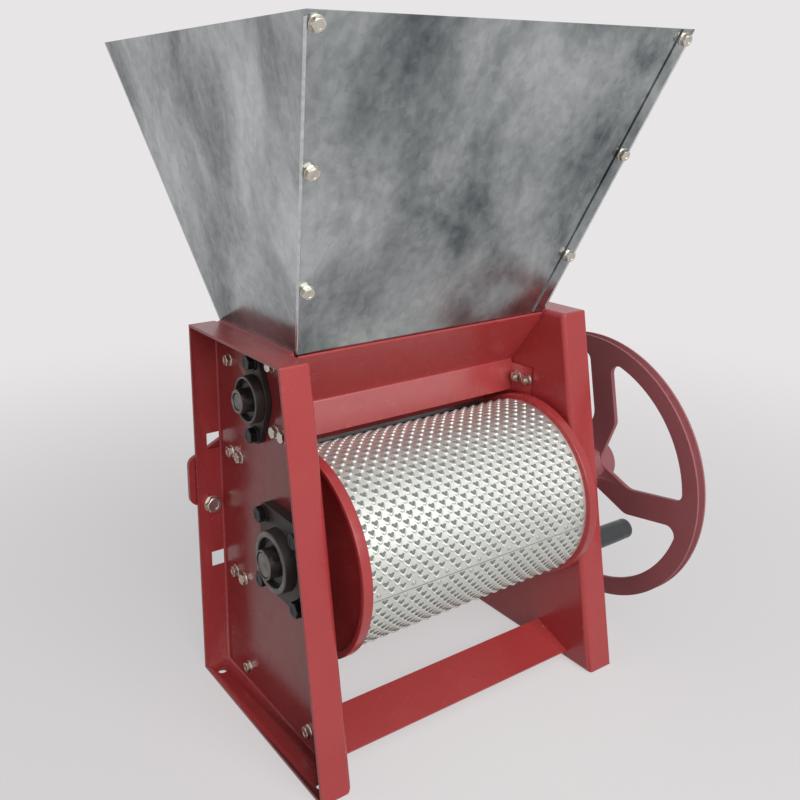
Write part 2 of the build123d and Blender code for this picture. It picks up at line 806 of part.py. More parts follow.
breast_outer = breast_radius + breast_thickness
breast_middle = (breast_top_angle + breast_foot_angle) / 2
with BuildPart() as breast_plate:
    with BuildSketch(side_plane.offset(-ear_inner)):
        with BuildLine():
            top_inner = polar(breast_radius, breast_top_angle)
            foot_inner = polar(breast_radius, breast_foot_angle)
            top_outer = polar(breast_outer, breast_top_angle)
            foot_outer = polar(breast_outer, breast_foot_angle)
            top_under = polar(breast_outer, breast_top_angle - 3)
            foot_over = polar(breast_outer, breast_foot_angle + 3)
            ThreePointArc(foot_inner, polar(breast_radius, breast_middle), top_inner)
            Polyline(
                top_inner,
                top_outer,
                (top_outer[0] + breast_rib, top_outer[1]),
                (top_outer[0] + breast_rib, top_under[1]),
                top_under,
            )
            ThreePointArc(top_under, polar(breast_outer, breast_middle), foot_over)
            Polyline(
                foot_over,
                (foot_outer[0] + breast_rib, foot_over[1]),
                (foot_outer[0] + breast_rib, foot_outer[1]),
                foot_outer,
                foot_inner,
            )
        make_face()
    extrude(amount=2 * ear_inner)
write(breast_plate, "breast_plate")

ear_rear_y = back_y - ear_rear_gap
with BuildPart() as breast_ear_left:
    with BuildSketch(side_plane.offset(-ear_outer)):
        with BuildLine():
            ear_top = clamp_upper_z + ear_margin
            ear_foot = clamp_lower_z - ear_margin
            ear_front_top = drum_y + math.sqrt(breast_radius**2 - (ear_top - drum_axis_z) ** 2)
            ear_front_foot = drum_y + math.sqrt(breast_radius**2 - (ear_foot - drum_axis_z) ** 2)
            ThreePointArc(
                (ear_front_foot, ear_foot),
                (drum_y + breast_radius, drum_axis_z),
                (ear_front_top, ear_top),
            )
            Polyline(
                (ear_front_top, ear_top),
                (ear_rear_y, ear_top),
                (ear_rear_y, lug_top_z),
                (lug_y + lug_thickness, lug_top_z),
                (lug_y + lug_thickness, lug_foot_z),
                (ear_rear_y, lug_foot_z),
                (ear_rear_y, ear_foot),
                (ear_front_foot, ear_foot),
            )
        make_face()
    extrude(amount=ear_thickness)
    with BuildSketch(Plane.XZ.offset(-lug_y)) as lug:
        with BuildLine():
            Polyline(
                (-ear_outer, lug_foot_z),
                (-ear_outer - lug_reach, screw_z + lug_tip_foot),
                (-ear_outer - lug_reach, screw_z + lug_tip_top),
                (-ear_outer, lug_top_z),
                close=True,
            )
        make_face()
        fillet(lug.vertices().sort_by(Axis.X)[:2], lug_corner)
        with Locations((-screw_x, screw_z)):
            Circle(screw_diameter / 2 + screw_clearance, mode=Mode.SUBTRACT)
    extrude(amount=-lug_thickness)
write(breast_ear_left, "breast_ear_left")

with BuildPart() as breast_ear_right:
    add(mirror(breast_ear_left.part, about=Plane.YZ, mode=Mode.PRIVATE))
write(breast_ear_right, "breast_ear_right")

# Clamp bolts of the breast: head outside the side frame, shank in its slot, nut on the ear
with BuildPart() as breast_bolts:
    for side in (-1, 1):
        with BuildSketch(side_plane.offset(side * (plate_outer + ear_clearance))):
            with Locations(*clamp_spots):
                RegularPolygon(clamp_head_width / 2, 6, major_radius=False)
        extrude(amount=side * clamp_head_height)
        with BuildSketch(side_plane.offset(side * ear_outer)):
            with Locations(*clamp_spots):
                RegularPolygon(clamp_diameter / 2, 6)
        extrude(amount=side * (plate_outer + ear_clearance - ear_outer))
write(breast_bolts, "breast_bolts")

# Adjusting screws: head on the front of the rear flange, shank through it and through the lug
with BuildPart() as adjuster_screw_left:
    with BuildSketch(Plane.XZ.offset(plate_thickness - back_y)):
        with Locations((-screw_x, screw_z)):
            RegularPolygon(screw_head_width / 2, 6, major_radius=False)
    extrude(amount=screw_head_height)
    with BuildSketch(Plane.XZ.offset(plate_thickness - back_y)):
        with Locations((-screw_x, screw_z)):
            Circle(screw_diameter / 2)
    extrude(amount=-(plate_thickness + lug_gap + lug_thickness + breast_travel + screw_tail))
write(adjuster_screw_left, "adjuster_screw_left")

with BuildPart() as adjuster_screw_right:
    add(mirror(adjuster_screw_left.part, about=Plane.YZ, mode=Mode.PRIVATE))
write(adjuster_screw_right, "adjuster_screw_right")
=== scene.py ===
# %% [markdown]
# A coffee pulper squeezes ripe cherries between a toothed drum and a breast plate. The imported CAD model
# already holds every rigid piece in its true place, so this lesson adds what the eye looks for next:
# real finishes, the punched drum cover, turned bearing units, bolts and threads. Loading comes first,
# because every later step measures from it, and all sizes below are in millimetres.

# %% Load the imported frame
import math

import bmesh
import bpy
import numpy as np
from mathutils import Matrix, Vector


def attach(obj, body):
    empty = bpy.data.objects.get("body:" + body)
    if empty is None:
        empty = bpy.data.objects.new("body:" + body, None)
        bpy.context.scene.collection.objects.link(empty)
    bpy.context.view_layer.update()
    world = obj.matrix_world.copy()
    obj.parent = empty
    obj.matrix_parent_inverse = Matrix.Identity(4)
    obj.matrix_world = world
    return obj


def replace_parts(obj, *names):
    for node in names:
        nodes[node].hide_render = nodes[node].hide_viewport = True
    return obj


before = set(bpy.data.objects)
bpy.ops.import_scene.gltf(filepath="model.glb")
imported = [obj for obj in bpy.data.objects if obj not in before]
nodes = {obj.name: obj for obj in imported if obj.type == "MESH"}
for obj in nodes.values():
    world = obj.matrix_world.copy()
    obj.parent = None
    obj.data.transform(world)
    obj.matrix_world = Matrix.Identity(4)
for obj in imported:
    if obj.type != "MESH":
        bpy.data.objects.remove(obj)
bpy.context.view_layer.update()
MM = 0.001

# %% [markdown]
# The camera stands where a person would stand to look the machine over: to the left of the front, a
# little above the top of the frames. It could be aimed with a tracking constraint, but three plain
# vectors give the same view with nothing live in the file. The small shift keeps the uprights upright
# while the machine fills the picture.

# %% Camera
camera_place = Vector((-664.2, -897.9, 754.1)) * MM
camera_forward = Vector((0.5428, 0.8149, -0.2031)).normalized()
camera_right = Vector((0.8312, -0.5558, -0.0087)).normalized()
camera_up = camera_right.cross(camera_forward)

camera = bpy.data.objects.new("camera", bpy.data.cameras.new("camera"))
bpy.context.scene.collection.objects.link(camera)
axes = Matrix((camera_right, camera_up, -camera_forward)).transposed()
camera.matrix_world = Matrix.Translation(camera_place) @ axes.to_4x4()
camera.data.lens = 41.27
camera.data.sensor_width = 36.0
camera.data.shift_x = 0.0458
camera.data.shift_y = -0.1384
bpy.context.scene.camera = camera
print("camera height in mm:", round(camera_place.z / MM))

# %% [markdown]
# Finishes are small node graphs. One helper adds a node, sets its properties and fills or links its
# sockets, and a second turns the sRGB colours a painter would write into the linear ones that the
# renderer needs. Pattern sizes are given in millimetres and turned into the scale of a texture. A Mix node
# has sockets called Factor, A, B and Result for numbers, vectors and colours alike, so the ones for colours
# go by their numbers.

# %% Helpers for node graphs
FACTOR = 0
COLOUR_A = 6
COLOUR_B = 7
RESULT = 2


def add(tree, kind, sockets=None, **settings):
    """Adds one shader node. A socket gets a plain value, or a link when the value is another socket."""
    made = tree.nodes.new("ShaderNode" + kind)
    for key, value in settings.items():
        setattr(made, key, value)
    for key, value in (sockets or {}).items():
        if isinstance(value, bpy.types.NodeSocket):
            tree.links.new(value, made.inputs[key])
        else:
            made.inputs[key].default_value = value
    return made


def linear(code):
    """sRGB hex to linear RGBA: c / 12.92 below 0.04045, else ((c + 0.055) / 1.055) to the power 2.4."""
    c = np.array([int(code[i:i + 2], 16) for i in (1, 3, 5)]) / 255
    c = np.where(c <= 0.04045, c / 12.92, ((c + 0.055) / 1.055) ** 2.4)
    return (*map(float, c), 1.0)


def per_metre(size):
    """Texture scale that makes one feature about this many millimetres wide."""
    return 1000.0 / size


def new_finish(name, sockets):
    """Starts a material: a Principled shader with its plain numbers, and the object's own coordinates."""
    material = bpy.data.materials.new(name)
    material.use_nodes = True
    tree = material.node_tree
    tree.nodes.clear()
    shader = add(tree, "BsdfPrincipled", sockets)
    add(tree, "OutputMaterial", {"Surface": shader.outputs["BSDF"]})
    place = add(tree, "TexCoord").outputs["Object"]
    return material, tree, shader, place


print("mid grey #808080 in linear light:", round(linear("#808080")[0], 3))

# %% [markdown]
# The studio is a pale floor under soft light. The world gives an even fill, a wide lamp in front and a
# little to the left models the forms, and a weak one high above it brightens what faces up.
# Camera rays and mirror rays see a pale backdrop instead of the fill, so the background can be bright
# without putting more light on the machine.

# %% Studio light
world = bpy.data.worlds.new("studio")
world.use_nodes = True
world.node_tree.nodes.clear()
bpy.context.scene.world = world
sky = world.node_tree
rays = add(sky, "LightPath")
glossy_ray = rays.outputs["Is Glossy Ray"]
clear_ray = rays.outputs["Is Transmission Ray"]
camera_ray = rays.outputs["Is Camera Ray"]
mirror_ray = add(sky, "Math", {0: glossy_ray, 1: clear_ray}, operation="MAXIMUM")
direct_ray = add(sky, "Math", {0: camera_ray, 1: mirror_ray.outputs[0]}, operation="MAXIMUM")
backdrop_colour = linear("#e8e5e6")
fill = add(sky, "Background", {"Color": linear("#f4f6fa"), "Strength": 0.13})
backdrop = add(sky, "Background", {"Color": backdrop_colour, "Strength": 1.0})
both = add(
    sky,
    "MixShader",
    {0: direct_ray.outputs[0], 1: fill.outputs["Background"], 2: backdrop.outputs["Background"]},
)
add(sky, "OutputWorld", {"Surface": both.outputs["Shader"]})


def soft_lamp(name, place, target, width, height, power):
    """A rectangular area lamp that faces its target."""
    lamp = bpy.data.lights.new(name, "AREA")
    lamp.shape = "RECTANGLE"
    lamp.size = width * MM
    lamp.size_y = height * MM
    lamp.energy = power
    thing = bpy.data.objects.new(name, lamp)
    bpy.context.scene.collection.objects.link(thing)
    thing.location = Vector(place) * MM
    thing.rotation_mode = "QUATERNION"
    thing.rotation_quaternion = (Vector(target) - Vector(place)).to_track_quat("-Z", "Y")


soft_lamp("front_lamp", (-250, -2400, 1600), (0, 0, 350), 2600, 1800, 60.0)
soft_lamp("high_lamp", (-300, -1500, 2950), (0, 0, 350), 1800, 1800, 9.0)
bpy.context.scene.view_settings.view_transform = "Standard"

# %% [markdown]
# New pieces in this lesson are grids of points worked out with numpy. A surface is a function of two
# parameters, so a table of points with rows and columns is all it takes, and joining neighbours in the
# table gives the faces.

# %% Faces of a grid
def grid_faces(rows, columns, wrap_rows=False, wrap_columns=False):
    """Quads of a grid: (i, j), (i, j + 1), (i + 1, j + 1), (i + 1, j). A wrapped way closes on itself."""
    i = np.arange(rows if wrap_rows else rows - 1)[:, None]
    j = np.arange(columns if wrap_columns else columns - 1)[None, :]
    i2 = (i + 1) % rows
    j2 = (j + 1) % columns
    corners = (i * columns + j, i * columns + j2, i2 * columns + j2, i2 * columns + j)
    return np.stack(np.broadcast_arrays(*corners), axis=-1).reshape(-1, 4)


print("faces of a grid of 3 by 4 points:", len(grid_faces(3, 4)))

# %% [markdown]
# The floor is a plain pale disc, matt like painted concrete, and it keeps the shadow of the machine. Camera
# and mirror rays see some of the backdrop's colour in it, more with distance, so the floor stays pale and
# no horizon shows. Light that bounces off it meets a greyer tone, or what faces down would be too bright.
# A disc is the easiest surface of two parameters: radius and angle.

# %% Floor
floor_paint, tree, shader, place = new_finish("pale_matt_floor_paint", {"IOR": 1.45, "Roughness": 0.85})
cloud = add(tree, "TexNoise", {"Vector": place, "Scale": per_metre(900), "Detail": 3.0})
pale_tones = {FACTOR: cloud.outputs["Fac"], COLOUR_A: linear("#e6e3e3"), COLOUR_B: linear("#efecec")}
tone = add(tree, "Mix", pale_tones, data_type="RGBA")
rays = add(tree, "LightPath")
direct = add(
    tree, "Math", {0: rays.outputs["Is Camera Ray"], 1: rays.outputs["Is Glossy Ray"]}, operation="MAXIMUM"
)
seen_tones = {FACTOR: direct.outputs[0], COLOUR_A: linear("#a8a5a5"), COLOUR_B: tone.outputs[RESULT]}
seen = add(tree, "Mix", seen_tones, data_type="RGBA")
tree.links.new(seen.outputs[RESULT], shader.inputs["Base Color"])
distance = add(tree, "VectorMath", {0: place}, operation="LENGTH")
far = add(
    tree,
    "MapRange",
    {"Value": distance.outputs["Value"], "From Min": 0.3, "From Max": 2.0, "To Min": 0.6, "To Max": 1.0},
    interpolation_type="SMOOTHSTEP",
)
pale = add(tree, "Math", {0: direct.outputs[0], 1: far.outputs[0]}, operation="MULTIPLY")
glow = add(tree, "Emission", {"Color": backdrop_colour, "Strength": 1.0})
ground = add(tree, "MixShader", {0: pale.outputs[0], 1: shader.outputs[0], 2: glow.outputs[0]})
tree.links.new(ground.outputs[0], tree.nodes["Material Output"].inputs["Surface"])

floor_radius = 30000
floor_rings = 8
floor_spokes = 96
floor_drop = 0.5
radius, angle = np.meshgrid(
    np.linspace(0, floor_radius, floor_rings),
    np.linspace(0, 2 * np.pi, floor_spokes, endpoint=False),
    indexing="ij",
)
disc = np.stack([radius * np.cos(angle), radius * np.sin(angle), 0 * radius - floor_drop], axis=-1)
mesh = bpy.data.meshes.new("floor")
disc_faces = grid_faces(floor_rings, floor_spokes, wrap_columns=True)[:, ::-1]
mesh.from_pydata((disc.reshape(-1, 3) * MM).tolist(), [], disc_faces.tolist())
mesh.materials.append(floor_paint)
floor = bpy.data.objects.new("floor", mesh)
bpy.context.scene.collection.objects.link(floor)
print("floor faces:", len(mesh.polygons))

# %% [markdown]
# The frames, chutes and throat are mild steel sprayed with red enamel. Sprayed enamel is glossy, but it
# dries with a faint orange peel a few millimetres wide, the colour drifts a little from panel to panel,
# and handling leaves duller, paler scuffs. Noise at those three sizes is enough to tell that story.

# %% Red enamel
red_enamel, tree, shader, place = new_finish("sprayed_red_enamel", {"IOR": 1.5})
cloud = add(tree, "TexNoise", {"Vector": place, "Scale": per_metre(140), "Detail": 4.0, "Roughness": 0.6})
scuff = add(tree, "TexNoise", {"Vector": place, "Scale": per_metre(26), "Detail": 8.0, "Roughness": 0.7})
peel = add(tree, "TexNoise", {"Vector": place, "Scale": per_metre(3.2), "Detail": 1.0})
worn = add(
    tree,
    "MapRange",
    {"Value": scuff.outputs["Fac"], "From Min": 0.6, "From Max": 0.8, "To Min": 0.0, "To Max": 0.2},
)
reds = {FACTOR: cloud.outputs["Fac"], COLOUR_A: linear("#a83639"), COLOUR_B: linear("#bd4848")}
tone = add(tree, "Mix", reds, data_type="RGBA")
scuffs = {FACTOR: worn.outputs[0], COLOUR_A: tone.outputs[RESULT], COLOUR_B: linear("#b0645f")}
dusty = add(tree, "Mix", scuffs, data_type="RGBA")
sheen = add(
    tree,
    "MapRange",
    {"Value": scuff.outputs["Fac"], "From Min": 0.3, "From Max": 0.7, "To Min": 0.16, "To Max": 0.32},
)
skin = add(tree, "Bump", {"Height": peel.outputs["Fac"], "Strength": 0.12, "Distance": 0.0003})
tree.links.new(dusty.outputs[RESULT], shader.inputs["Base Color"])
tree.links.new(sheen.outputs[0], shader.inputs["Roughness"])
tree.links.new(skin.outputs["Normal"], shader.inputs["Normal"])
print("finish:", red_enamel.name)

# %% [markdown]
# The flywheel, pulleys and drum ends are sand castings under the same paint. Sand leaves a grain that paint
# softens but never hides, so the gloss breaks up and the colour looks deeper. Real grains are under a
# millimetre and would not show here, so they are drawn 2.6 millimetres wide.

# %% Painted casting
red_casting, tree, shader, place = new_finish("red_paint_on_sand_casting", {"IOR": 1.5})
cloud = add(tree, "TexNoise", {"Vector": place, "Scale": per_metre(110), "Detail": 4.0, "Roughness": 0.6})
grain = add(tree, "TexNoise", {"Vector": place, "Scale": per_metre(2.6), "Detail": 3.0, "Roughness": 0.6})
reds = {FACTOR: cloud.outputs["Fac"], COLOUR_A: linear("#9e5b60"), COLOUR_B: linear("#b26e72")}
tone = add(tree, "Mix", reds, data_type="RGBA")
sheen = add(
    tree,
    "MapRange",
    {"Value": cloud.outputs["Fac"], "From Min": 0.3, "From Max": 0.7, "To Min": 0.34, "To Max": 0.5},
)
skin = add(tree, "Bump", {"Height": grain.outputs["Fac"], "Strength": 0.3, "Distance": 0.0004})
tree.links.new(tone.outputs[RESULT], shader.inputs["Base Color"])
tree.links.new(sheen.outputs[0], shader.inputs["Roughness"])
tree.links.new(skin.outputs["Normal"], shader.inputs["Normal"])
print("finish:", red_casting.name)

# %% [markdown]
# The hopper is hot-dip galvanised sheet, new and still shiny. Such sheet is a soft mirror: the zinc freezes
# in crystals that barely show, the surface is covered with small upright ripples, and handling leaves
# clouds of darker and lighter grey. The ripples go into the bump, the clouds into the colour. The folds get
# a lighter finish of their own, which paints a highlight along each bend.

# %% Galvanised sheet
galvanised, tree, shader, place = new_finish("hot_dip_galvanised_sheet", {"Metallic": 1.0})
spangle = add(tree, "TexVoronoi", {"Vector": place, "Scale": per_metre(8)}, feature="F1")
crystal = add(tree, "SeparateColor", {"Color": spangle.outputs["Color"]})
upright = add(tree, "Mapping", {"Vector": place, "Scale": (1.0, 1.0, 0.6)})
drift = {"Vector": upright.outputs[0], "Scale": per_metre(140), "Detail": 6.0, "Roughness": 0.6}
cloud = add(tree, "TexNoise", drift | {"Distortion": 0.4})
dab = add(tree, "TexNoise", {"Vector": upright.outputs[0], "Scale": per_metre(11), "Detail": 2.0})
cloudy = add(
    tree,
    "MapRange",
    {"Value": cloud.outputs["Fac"], "From Min": 0.35, "From Max": 0.66, "To Min": -0.08, "To Max": 0.75},
)
fleck = add(tree, "Math", {0: dab.outputs["Fac"], 1: 0.28, 2: cloudy.outputs[0]}, operation="MULTIPLY_ADD")
shade = add(tree, "Math", {0: crystal.outputs[0], 1: 0.12, 2: fleck.outputs[0]}, operation="MULTIPLY_ADD")
greys = {FACTOR: shade.outputs[0], COLOUR_A: linear("#50575a"), COLOUR_B: linear("#bcc1c1")}
tone = add(tree, "Mix", greys, data_type="RGBA")
sheen = add(
    tree,
    "MapRange",
    {"Value": cloud.outputs["Fac"], "From Min": 0.3, "From Max": 0.7, "To Min": 0.14, "To Max": 0.26},
)
skin = add(tree, "Bump", {"Height": dab.outputs["Fac"], "Strength": 0.3, "Distance": 0.0006})
tree.links.new(tone.outputs[RESULT], shader.inputs["Base Color"])
tree.links.new(sheen.outputs[0], shader.inputs["Roughness"])
tree.links.new(skin.outputs["Normal"], shader.inputs["Normal"])

# Painted highlight: a lighter, smoother zinc for the strips that follow the folds of the hopper.
fold_highlight, tree, shader, place = new_finish("painted_highlight_on_folds", {"Metallic": 1.0, "Roughness": 0.34})
highlight_mottle = add(tree, "TexNoise", {"Vector": place, "Scale": per_metre(6), "Detail": 3.0})
highlight_tones = {FACTOR: highlight_mottle.outputs["Fac"], COLOUR_A: linear("#a9aeae"), COLOUR_B: linear("#e2e5e5")}
tone = add(tree, "Mix", highlight_tones, data_type="RGBA")
tree.links.new(tone.outputs[RESULT], shader.inputs["Base Color"])
print("finishes:", galvanised.name, fold_highlight.name)

# %% [markdown]
# The drum cover is bright sheet, rolled and punched cold. Rolling leaves fine lines along the sheet, and
# the punch leaves the metal clean, so it stays the lightest metal on the machine. The mouths of the teeth
# get a grey finish of their own, painted shade that keeps those openings dark in any light. Real
# rolling lines are far too fine to show, so they are drawn 1.6 millimetres wide.

# %% Punched steel and the painted shade of its openings
bright_sheet, tree, shader, place = new_finish("bright_rolled_steel_sheet", {"Metallic": 1.0})
lines = add(tree, "Mapping", {"Vector": place, "Scale": (0.06, 1.0, 1.0)})
rolled = add(tree, "TexNoise", {"Vector": lines.outputs[0], "Scale": per_metre(1.6), "Detail": 4.0})
cloud = add(tree, "TexNoise", {"Vector": place, "Scale": per_metre(60), "Detail": 3.0})
brights = {FACTOR: cloud.outputs["Fac"], COLOUR_A: linear("#c7c9c4"), COLOUR_B: linear("#dee1dc")}
tone = add(tree, "Mix", brights, data_type="RGBA")
sheen = add(
    tree,
    "MapRange",
    {"Value": rolled.outputs["Fac"], "From Min": 0.3, "From Max": 0.7, "To Min": 0.5, "To Max": 0.62},
)
tree.links.new(tone.outputs[RESULT], shader.inputs["Base Color"])
tree.links.new(sheen.outputs[0], shader.inputs["Roughness"])

# Painted shade for the mouths and holes of the teeth; the dark line of the seam uses it too.
mouth_shade_and_seam_dark, tree, shader, place = new_finish("painted_shade_of_mouths_and_dark_seam", {"Roughness": 0.9, "IOR": 1.4})
dark_mottle = add(tree, "TexNoise", {"Vector": place, "Scale": per_metre(4), "Detail": 2.0})
dark_tones = {FACTOR: dark_mottle.outputs["Fac"], COLOUR_A: linear("#787c75"), COLOUR_B: linear("#999d95")}
tone = add(tree, "Mix", dark_tones, data_type="RGBA")
tree.links.new(tone.outputs[RESULT], shader.inputs["Base Color"])
print("finishes:", bright_sheet.name, mouth_shade_and_seam_dark.name)

# %% [markdown]
# Shafts and pins are turned bar: the lathe tool leaves rings round the axis, and bare steel takes a little
# brown rust. Rings are noise squeezed hard along the axis of the shaft. Real tool marks lie about 0.2
# millimetres apart and would not show, so these are 1.2 millimetres wide.

# %% Turned steel
turned_steel, tree, shader, place = new_finish("turned_mild_steel", {"Metallic": 1.0})
rings = add(tree, "Mapping", {"Vector": place, "Scale": (1.0, 0.05, 0.05)})
tool = add(tree, "TexNoise", {"Vector": rings.outputs[0], "Scale": per_metre(1.2), "Detail": 3.0})
rust = add(tree, "TexNoise", {"Vector": place, "Scale": per_metre(14), "Detail": 6.0, "Roughness": 0.7})
rusty = add(
    tree,
    "MapRange",
    {"Value": rust.outputs["Fac"], "From Min": 0.5, "From Max": 0.72, "To Min": 0.0, "To Max": 0.6},
)
cuts = {FACTOR: tool.outputs["Fac"], COLOUR_A: linear("#55514e"), COLOUR_B: linear("#85817c")}
bare = add(tree, "Mix", cuts, data_type="RGBA")
rusts = {FACTOR: rusty.outputs[0], COLOUR_A: bare.outputs[RESULT], COLOUR_B: linear("#4a3c33")}
tone = add(tree, "Mix", rusts, data_type="RGBA")
sheen = add(
    tree,
    "MapRange",
    {"Value": rust.outputs["Fac"], "From Min": 0.4, "From Max": 0.7, "To Min": 0.28, "To Max": 0.6},
)
tree.links.new(tone.outputs[RESULT], shader.inputs["Base Color"])
tree.links.new(sheen.outputs[0], shader.inputs["Roughness"])
print("finish:", turned_steel.name)

# %% [markdown]
# The bearing housings are grey iron with a thin dark coat. The coat is dull and a little brown where dust
# and oil have met, and the grain of the mould shows through it, drawn at 1.8 millimetres, coarser than
# real sand, so that it can be seen.

# %% Dark bearing casting
dark_iron, tree, shader, place = new_finish("dark_coated_cast_iron", {"Metallic": 0.25, "IOR": 1.5})
cloud = add(tree, "TexNoise", {"Vector": place, "Scale": per_metre(22), "Detail": 5.0, "Roughness": 0.65})
grain = add(tree, "TexNoise", {"Vector": place, "Scale": per_metre(1.8), "Detail": 3.0})
coats = {FACTOR: cloud.outputs["Fac"], COLOUR_A: linear("#1f1b1c"), COLOUR_B: linear("#453c3a")}
tone = add(tree, "Mix", coats, data_type="RGBA")
sheen = add(
    tree,
    "MapRange",
    {"Value": cloud.outputs["Fac"], "From Min": 0.3, "From Max": 0.7, "To Min": 0.38, "To Max": 0.58},
)
skin = add(tree, "Bump", {"Height": grain.outputs["Fac"], "Strength": 0.3, "Distance": 0.0003})
tree.links.new(tone.outputs[RESULT], shader.inputs["Base Color"])
tree.links.new(sheen.outputs[0], shader.inputs["Roughness"])
tree.links.new(skin.outputs["Normal"], shader.inputs["Normal"])
print("finish:", dark_iron.name)

# %% [markdown]
# Two kinds of bolt hold the machine together. The bearing bolts are black oxide, a thin dark skin that
# holds oil. The small ones are zinc plated, silvery with a warm tint where the passivation is thicker.

# %% Bolt finishes
black_oxide, tree, shader, place = new_finish("black_oxide_steel", {"Metallic": 0.6})
patch = add(tree, "TexNoise", {"Vector": place, "Scale": per_metre(7), "Detail": 4.0})
blacks = {FACTOR: patch.outputs["Fac"], COLOUR_A: linear("#141416"), COLOUR_B: linear("#2e2c2d")}
tone = add(tree, "Mix", blacks, data_type="RGBA")
sheen = add(
    tree,
    "MapRange",
    {"Value": patch.outputs["Fac"], "From Min": 0.3, "From Max": 0.7, "To Min": 0.32, "To Max": 0.5},
)
tree.links.new(tone.outputs[RESULT], shader.inputs["Base Color"])
tree.links.new(sheen.outputs[0], shader.inputs["Roughness"])

zinc_plate, tree, shader, place = new_finish("zinc_plated_steel", {"Metallic": 1.0})
patch = add(tree, "TexNoise", {"Vector": place, "Scale": per_metre(6), "Detail": 4.0})
zincs = {FACTOR: patch.outputs["Fac"], COLOUR_A: linear("#b3aa98"), COLOUR_B: linear("#dcd9d2")}
tone = add(tree, "Mix", zincs, data_type="RGBA")
sheen = add(
    tree,
    "MapRange",
    {"Value": patch.outputs["Fac"], "From Min": 0.3, "From Max": 0.7, "To Min": 0.22, "To Max": 0.36},
)
tree.links.new(tone.outputs[RESULT], shader.inputs["Base Color"])
tree.links.new(sheen.outputs[0], shader.inputs["Roughness"])
print("finishes:", black_oxide.name, zinc_plate.name)

# %% [markdown]
# The grip is moulded plastic with a fine spark texture, and the belt is rubber dulled by its own dust.
# Both are dark and rough, so the grain in their gloss matters more than their colour. A real spark texture
# is about 0.2 millimetres fine and would not show, so it is drawn at 1.2.

# %% Plastic and rubber
grip_plastic, tree, shader, place = new_finish("moulded_grey_polypropylene", {"IOR": 1.49})
spark = add(tree, "TexNoise", {"Vector": place, "Scale": per_metre(1.2), "Detail": 2.0})
cloud = add(tree, "TexNoise", {"Vector": place, "Scale": per_metre(30), "Detail": 3.0})
greys = {FACTOR: cloud.outputs["Fac"], COLOUR_A: linear("#34383a"), COLOUR_B: linear("#454a4c")}
tone = add(tree, "Mix", greys, data_type="RGBA")
sheen = add(
    tree,
    "MapRange",
    {"Value": cloud.outputs["Fac"], "From Min": 0.3, "From Max": 0.7, "To Min": 0.24, "To Max": 0.36},
)
skin = add(tree, "Bump", {"Height": spark.outputs["Fac"], "Strength": 0.15, "Distance": 0.0002})
tree.links.new(tone.outputs[RESULT], shader.inputs["Base Color"])
tree.links.new(sheen.outputs[0], shader.inputs["Roughness"])
tree.links.new(skin.outputs["Normal"], shader.inputs["Normal"])

rubber, tree, shader, place = new_finish("black_belt_rubber", {"IOR": 1.52})
dust = add(tree, "TexNoise", {"Vector": place, "Scale": per_metre(18), "Detail": 6.0, "Roughness": 0.7})
blacks = {FACTOR: dust.outputs["Fac"], COLOUR_A: linear("#161616"), COLOUR_B: linear("#33302e")}
tone = add(tree, "Mix", blacks, data_type="RGBA")
sheen = add(
    tree,
    "MapRange",
    {"Value": dust.outputs["Fac"], "From Min": 0.3, "From Max": 0.7, "To Min": 0.6, "To Max": 0.85},
)
tree.links.new(tone.outputs[RESULT], shader.inputs["Base Color"])
tree.links.new(sheen.outputs[0], shader.inputs["Roughness"])
print("finishes:", grip_plastic.name, rubber.name)

# %% [markdown]
# Each CAD node arrives with a plain material named for its slot. Swapping the material in that slot
# dresses the node without touching its mesh. The feed roller and the breast plate sit deep in the dark gap
# under the throat, so they wear the dark iron of the bearings as painted shade.

# %% Dress the CAD nodes
finish_of_slot = {
    "red_paint": red_enamel,
    "red_casting": red_casting,
    "galvanised_sheet": galvanised,
    "punched_steel": bright_sheet,
    "turned_steel": turned_steel,
    "grey_casting": dark_iron,
    "black_bolts": black_oxide,
    "zinc_bolts": zinc_plate,
    "grip_plastic": grip_plastic,
    "belt_rubber": rubber,
}
for thing in nodes.values():
    thing.material_slots[0].material = finish_of_slot[thing.material_slots[0].material.name]
# Painted shade: the two parts deep under the throat are dressed dark.
for shade_dressed in ("feed_roller", "breast_plate"):
    nodes[shade_dressed].material_slots[0].material = dark_iron
print("dressed:", len(nodes), "nodes with", len(finish_of_slot), "finishes")

# %% [markdown]
# Bent sheet and castings have no knife edges, and it is the rounded edge that catches the light. How wide a
# round can be depends on the surfaces beside it: wide where two broad ones meet, fine along the cut edge of
# a sheet. So the loose triangles of a CAD mesh are first merged at the corners and grouped into smooth
# surfaces, and each surface is measured. Small ones, such as the walls of holes, count as having no width.

# %% Widths of smooth surfaces
least_fold = math.radians(28)
smallest_surface = 46.0


def merged(node):
    """Copy of a CAD node's mesh, its loose triangles joined at the corners."""
    work = bmesh.new()
    work.from_mesh(nodes[node].data)
    bmesh.ops.remove_doubles(work, verts=work.verts, dist=2e-6)
    return work


def surface_widths(work):
    """Width in mm of the smooth surface that each face belongs to: about 2 area / perimeter, or none where
    the surface is small. Two faces share a surface when the fold between them is slight."""
    wide = {}
    for seed in work.faces:
        if seed in wide:
            continue
        surface = {seed}
        border = 0.0
        queue = [seed]
        while queue:
            for edge in queue.pop().edges:
                if len(edge.link_faces) != 2 or edge.calc_face_angle() > least_fold:
                    border += edge.calc_length()
                    continue
                fresh = set(edge.link_faces) - surface
                surface |= fresh
                queue += fresh
        corners = np.array([corner.co for face in surface for corner in face.verts])
        large = np.ptp(corners, axis=0).max() > smallest_surface * MM
        width = 2 * sum(face.calc_area() for face in surface) / border / MM if large and border else 0.0
        wide |= dict.fromkeys(surface, width)
    return wide


sample = merged("chute_front")
print("broadest surface of the front chute in mm:", round(max(surface_widths(sample).values())))
sample.free()

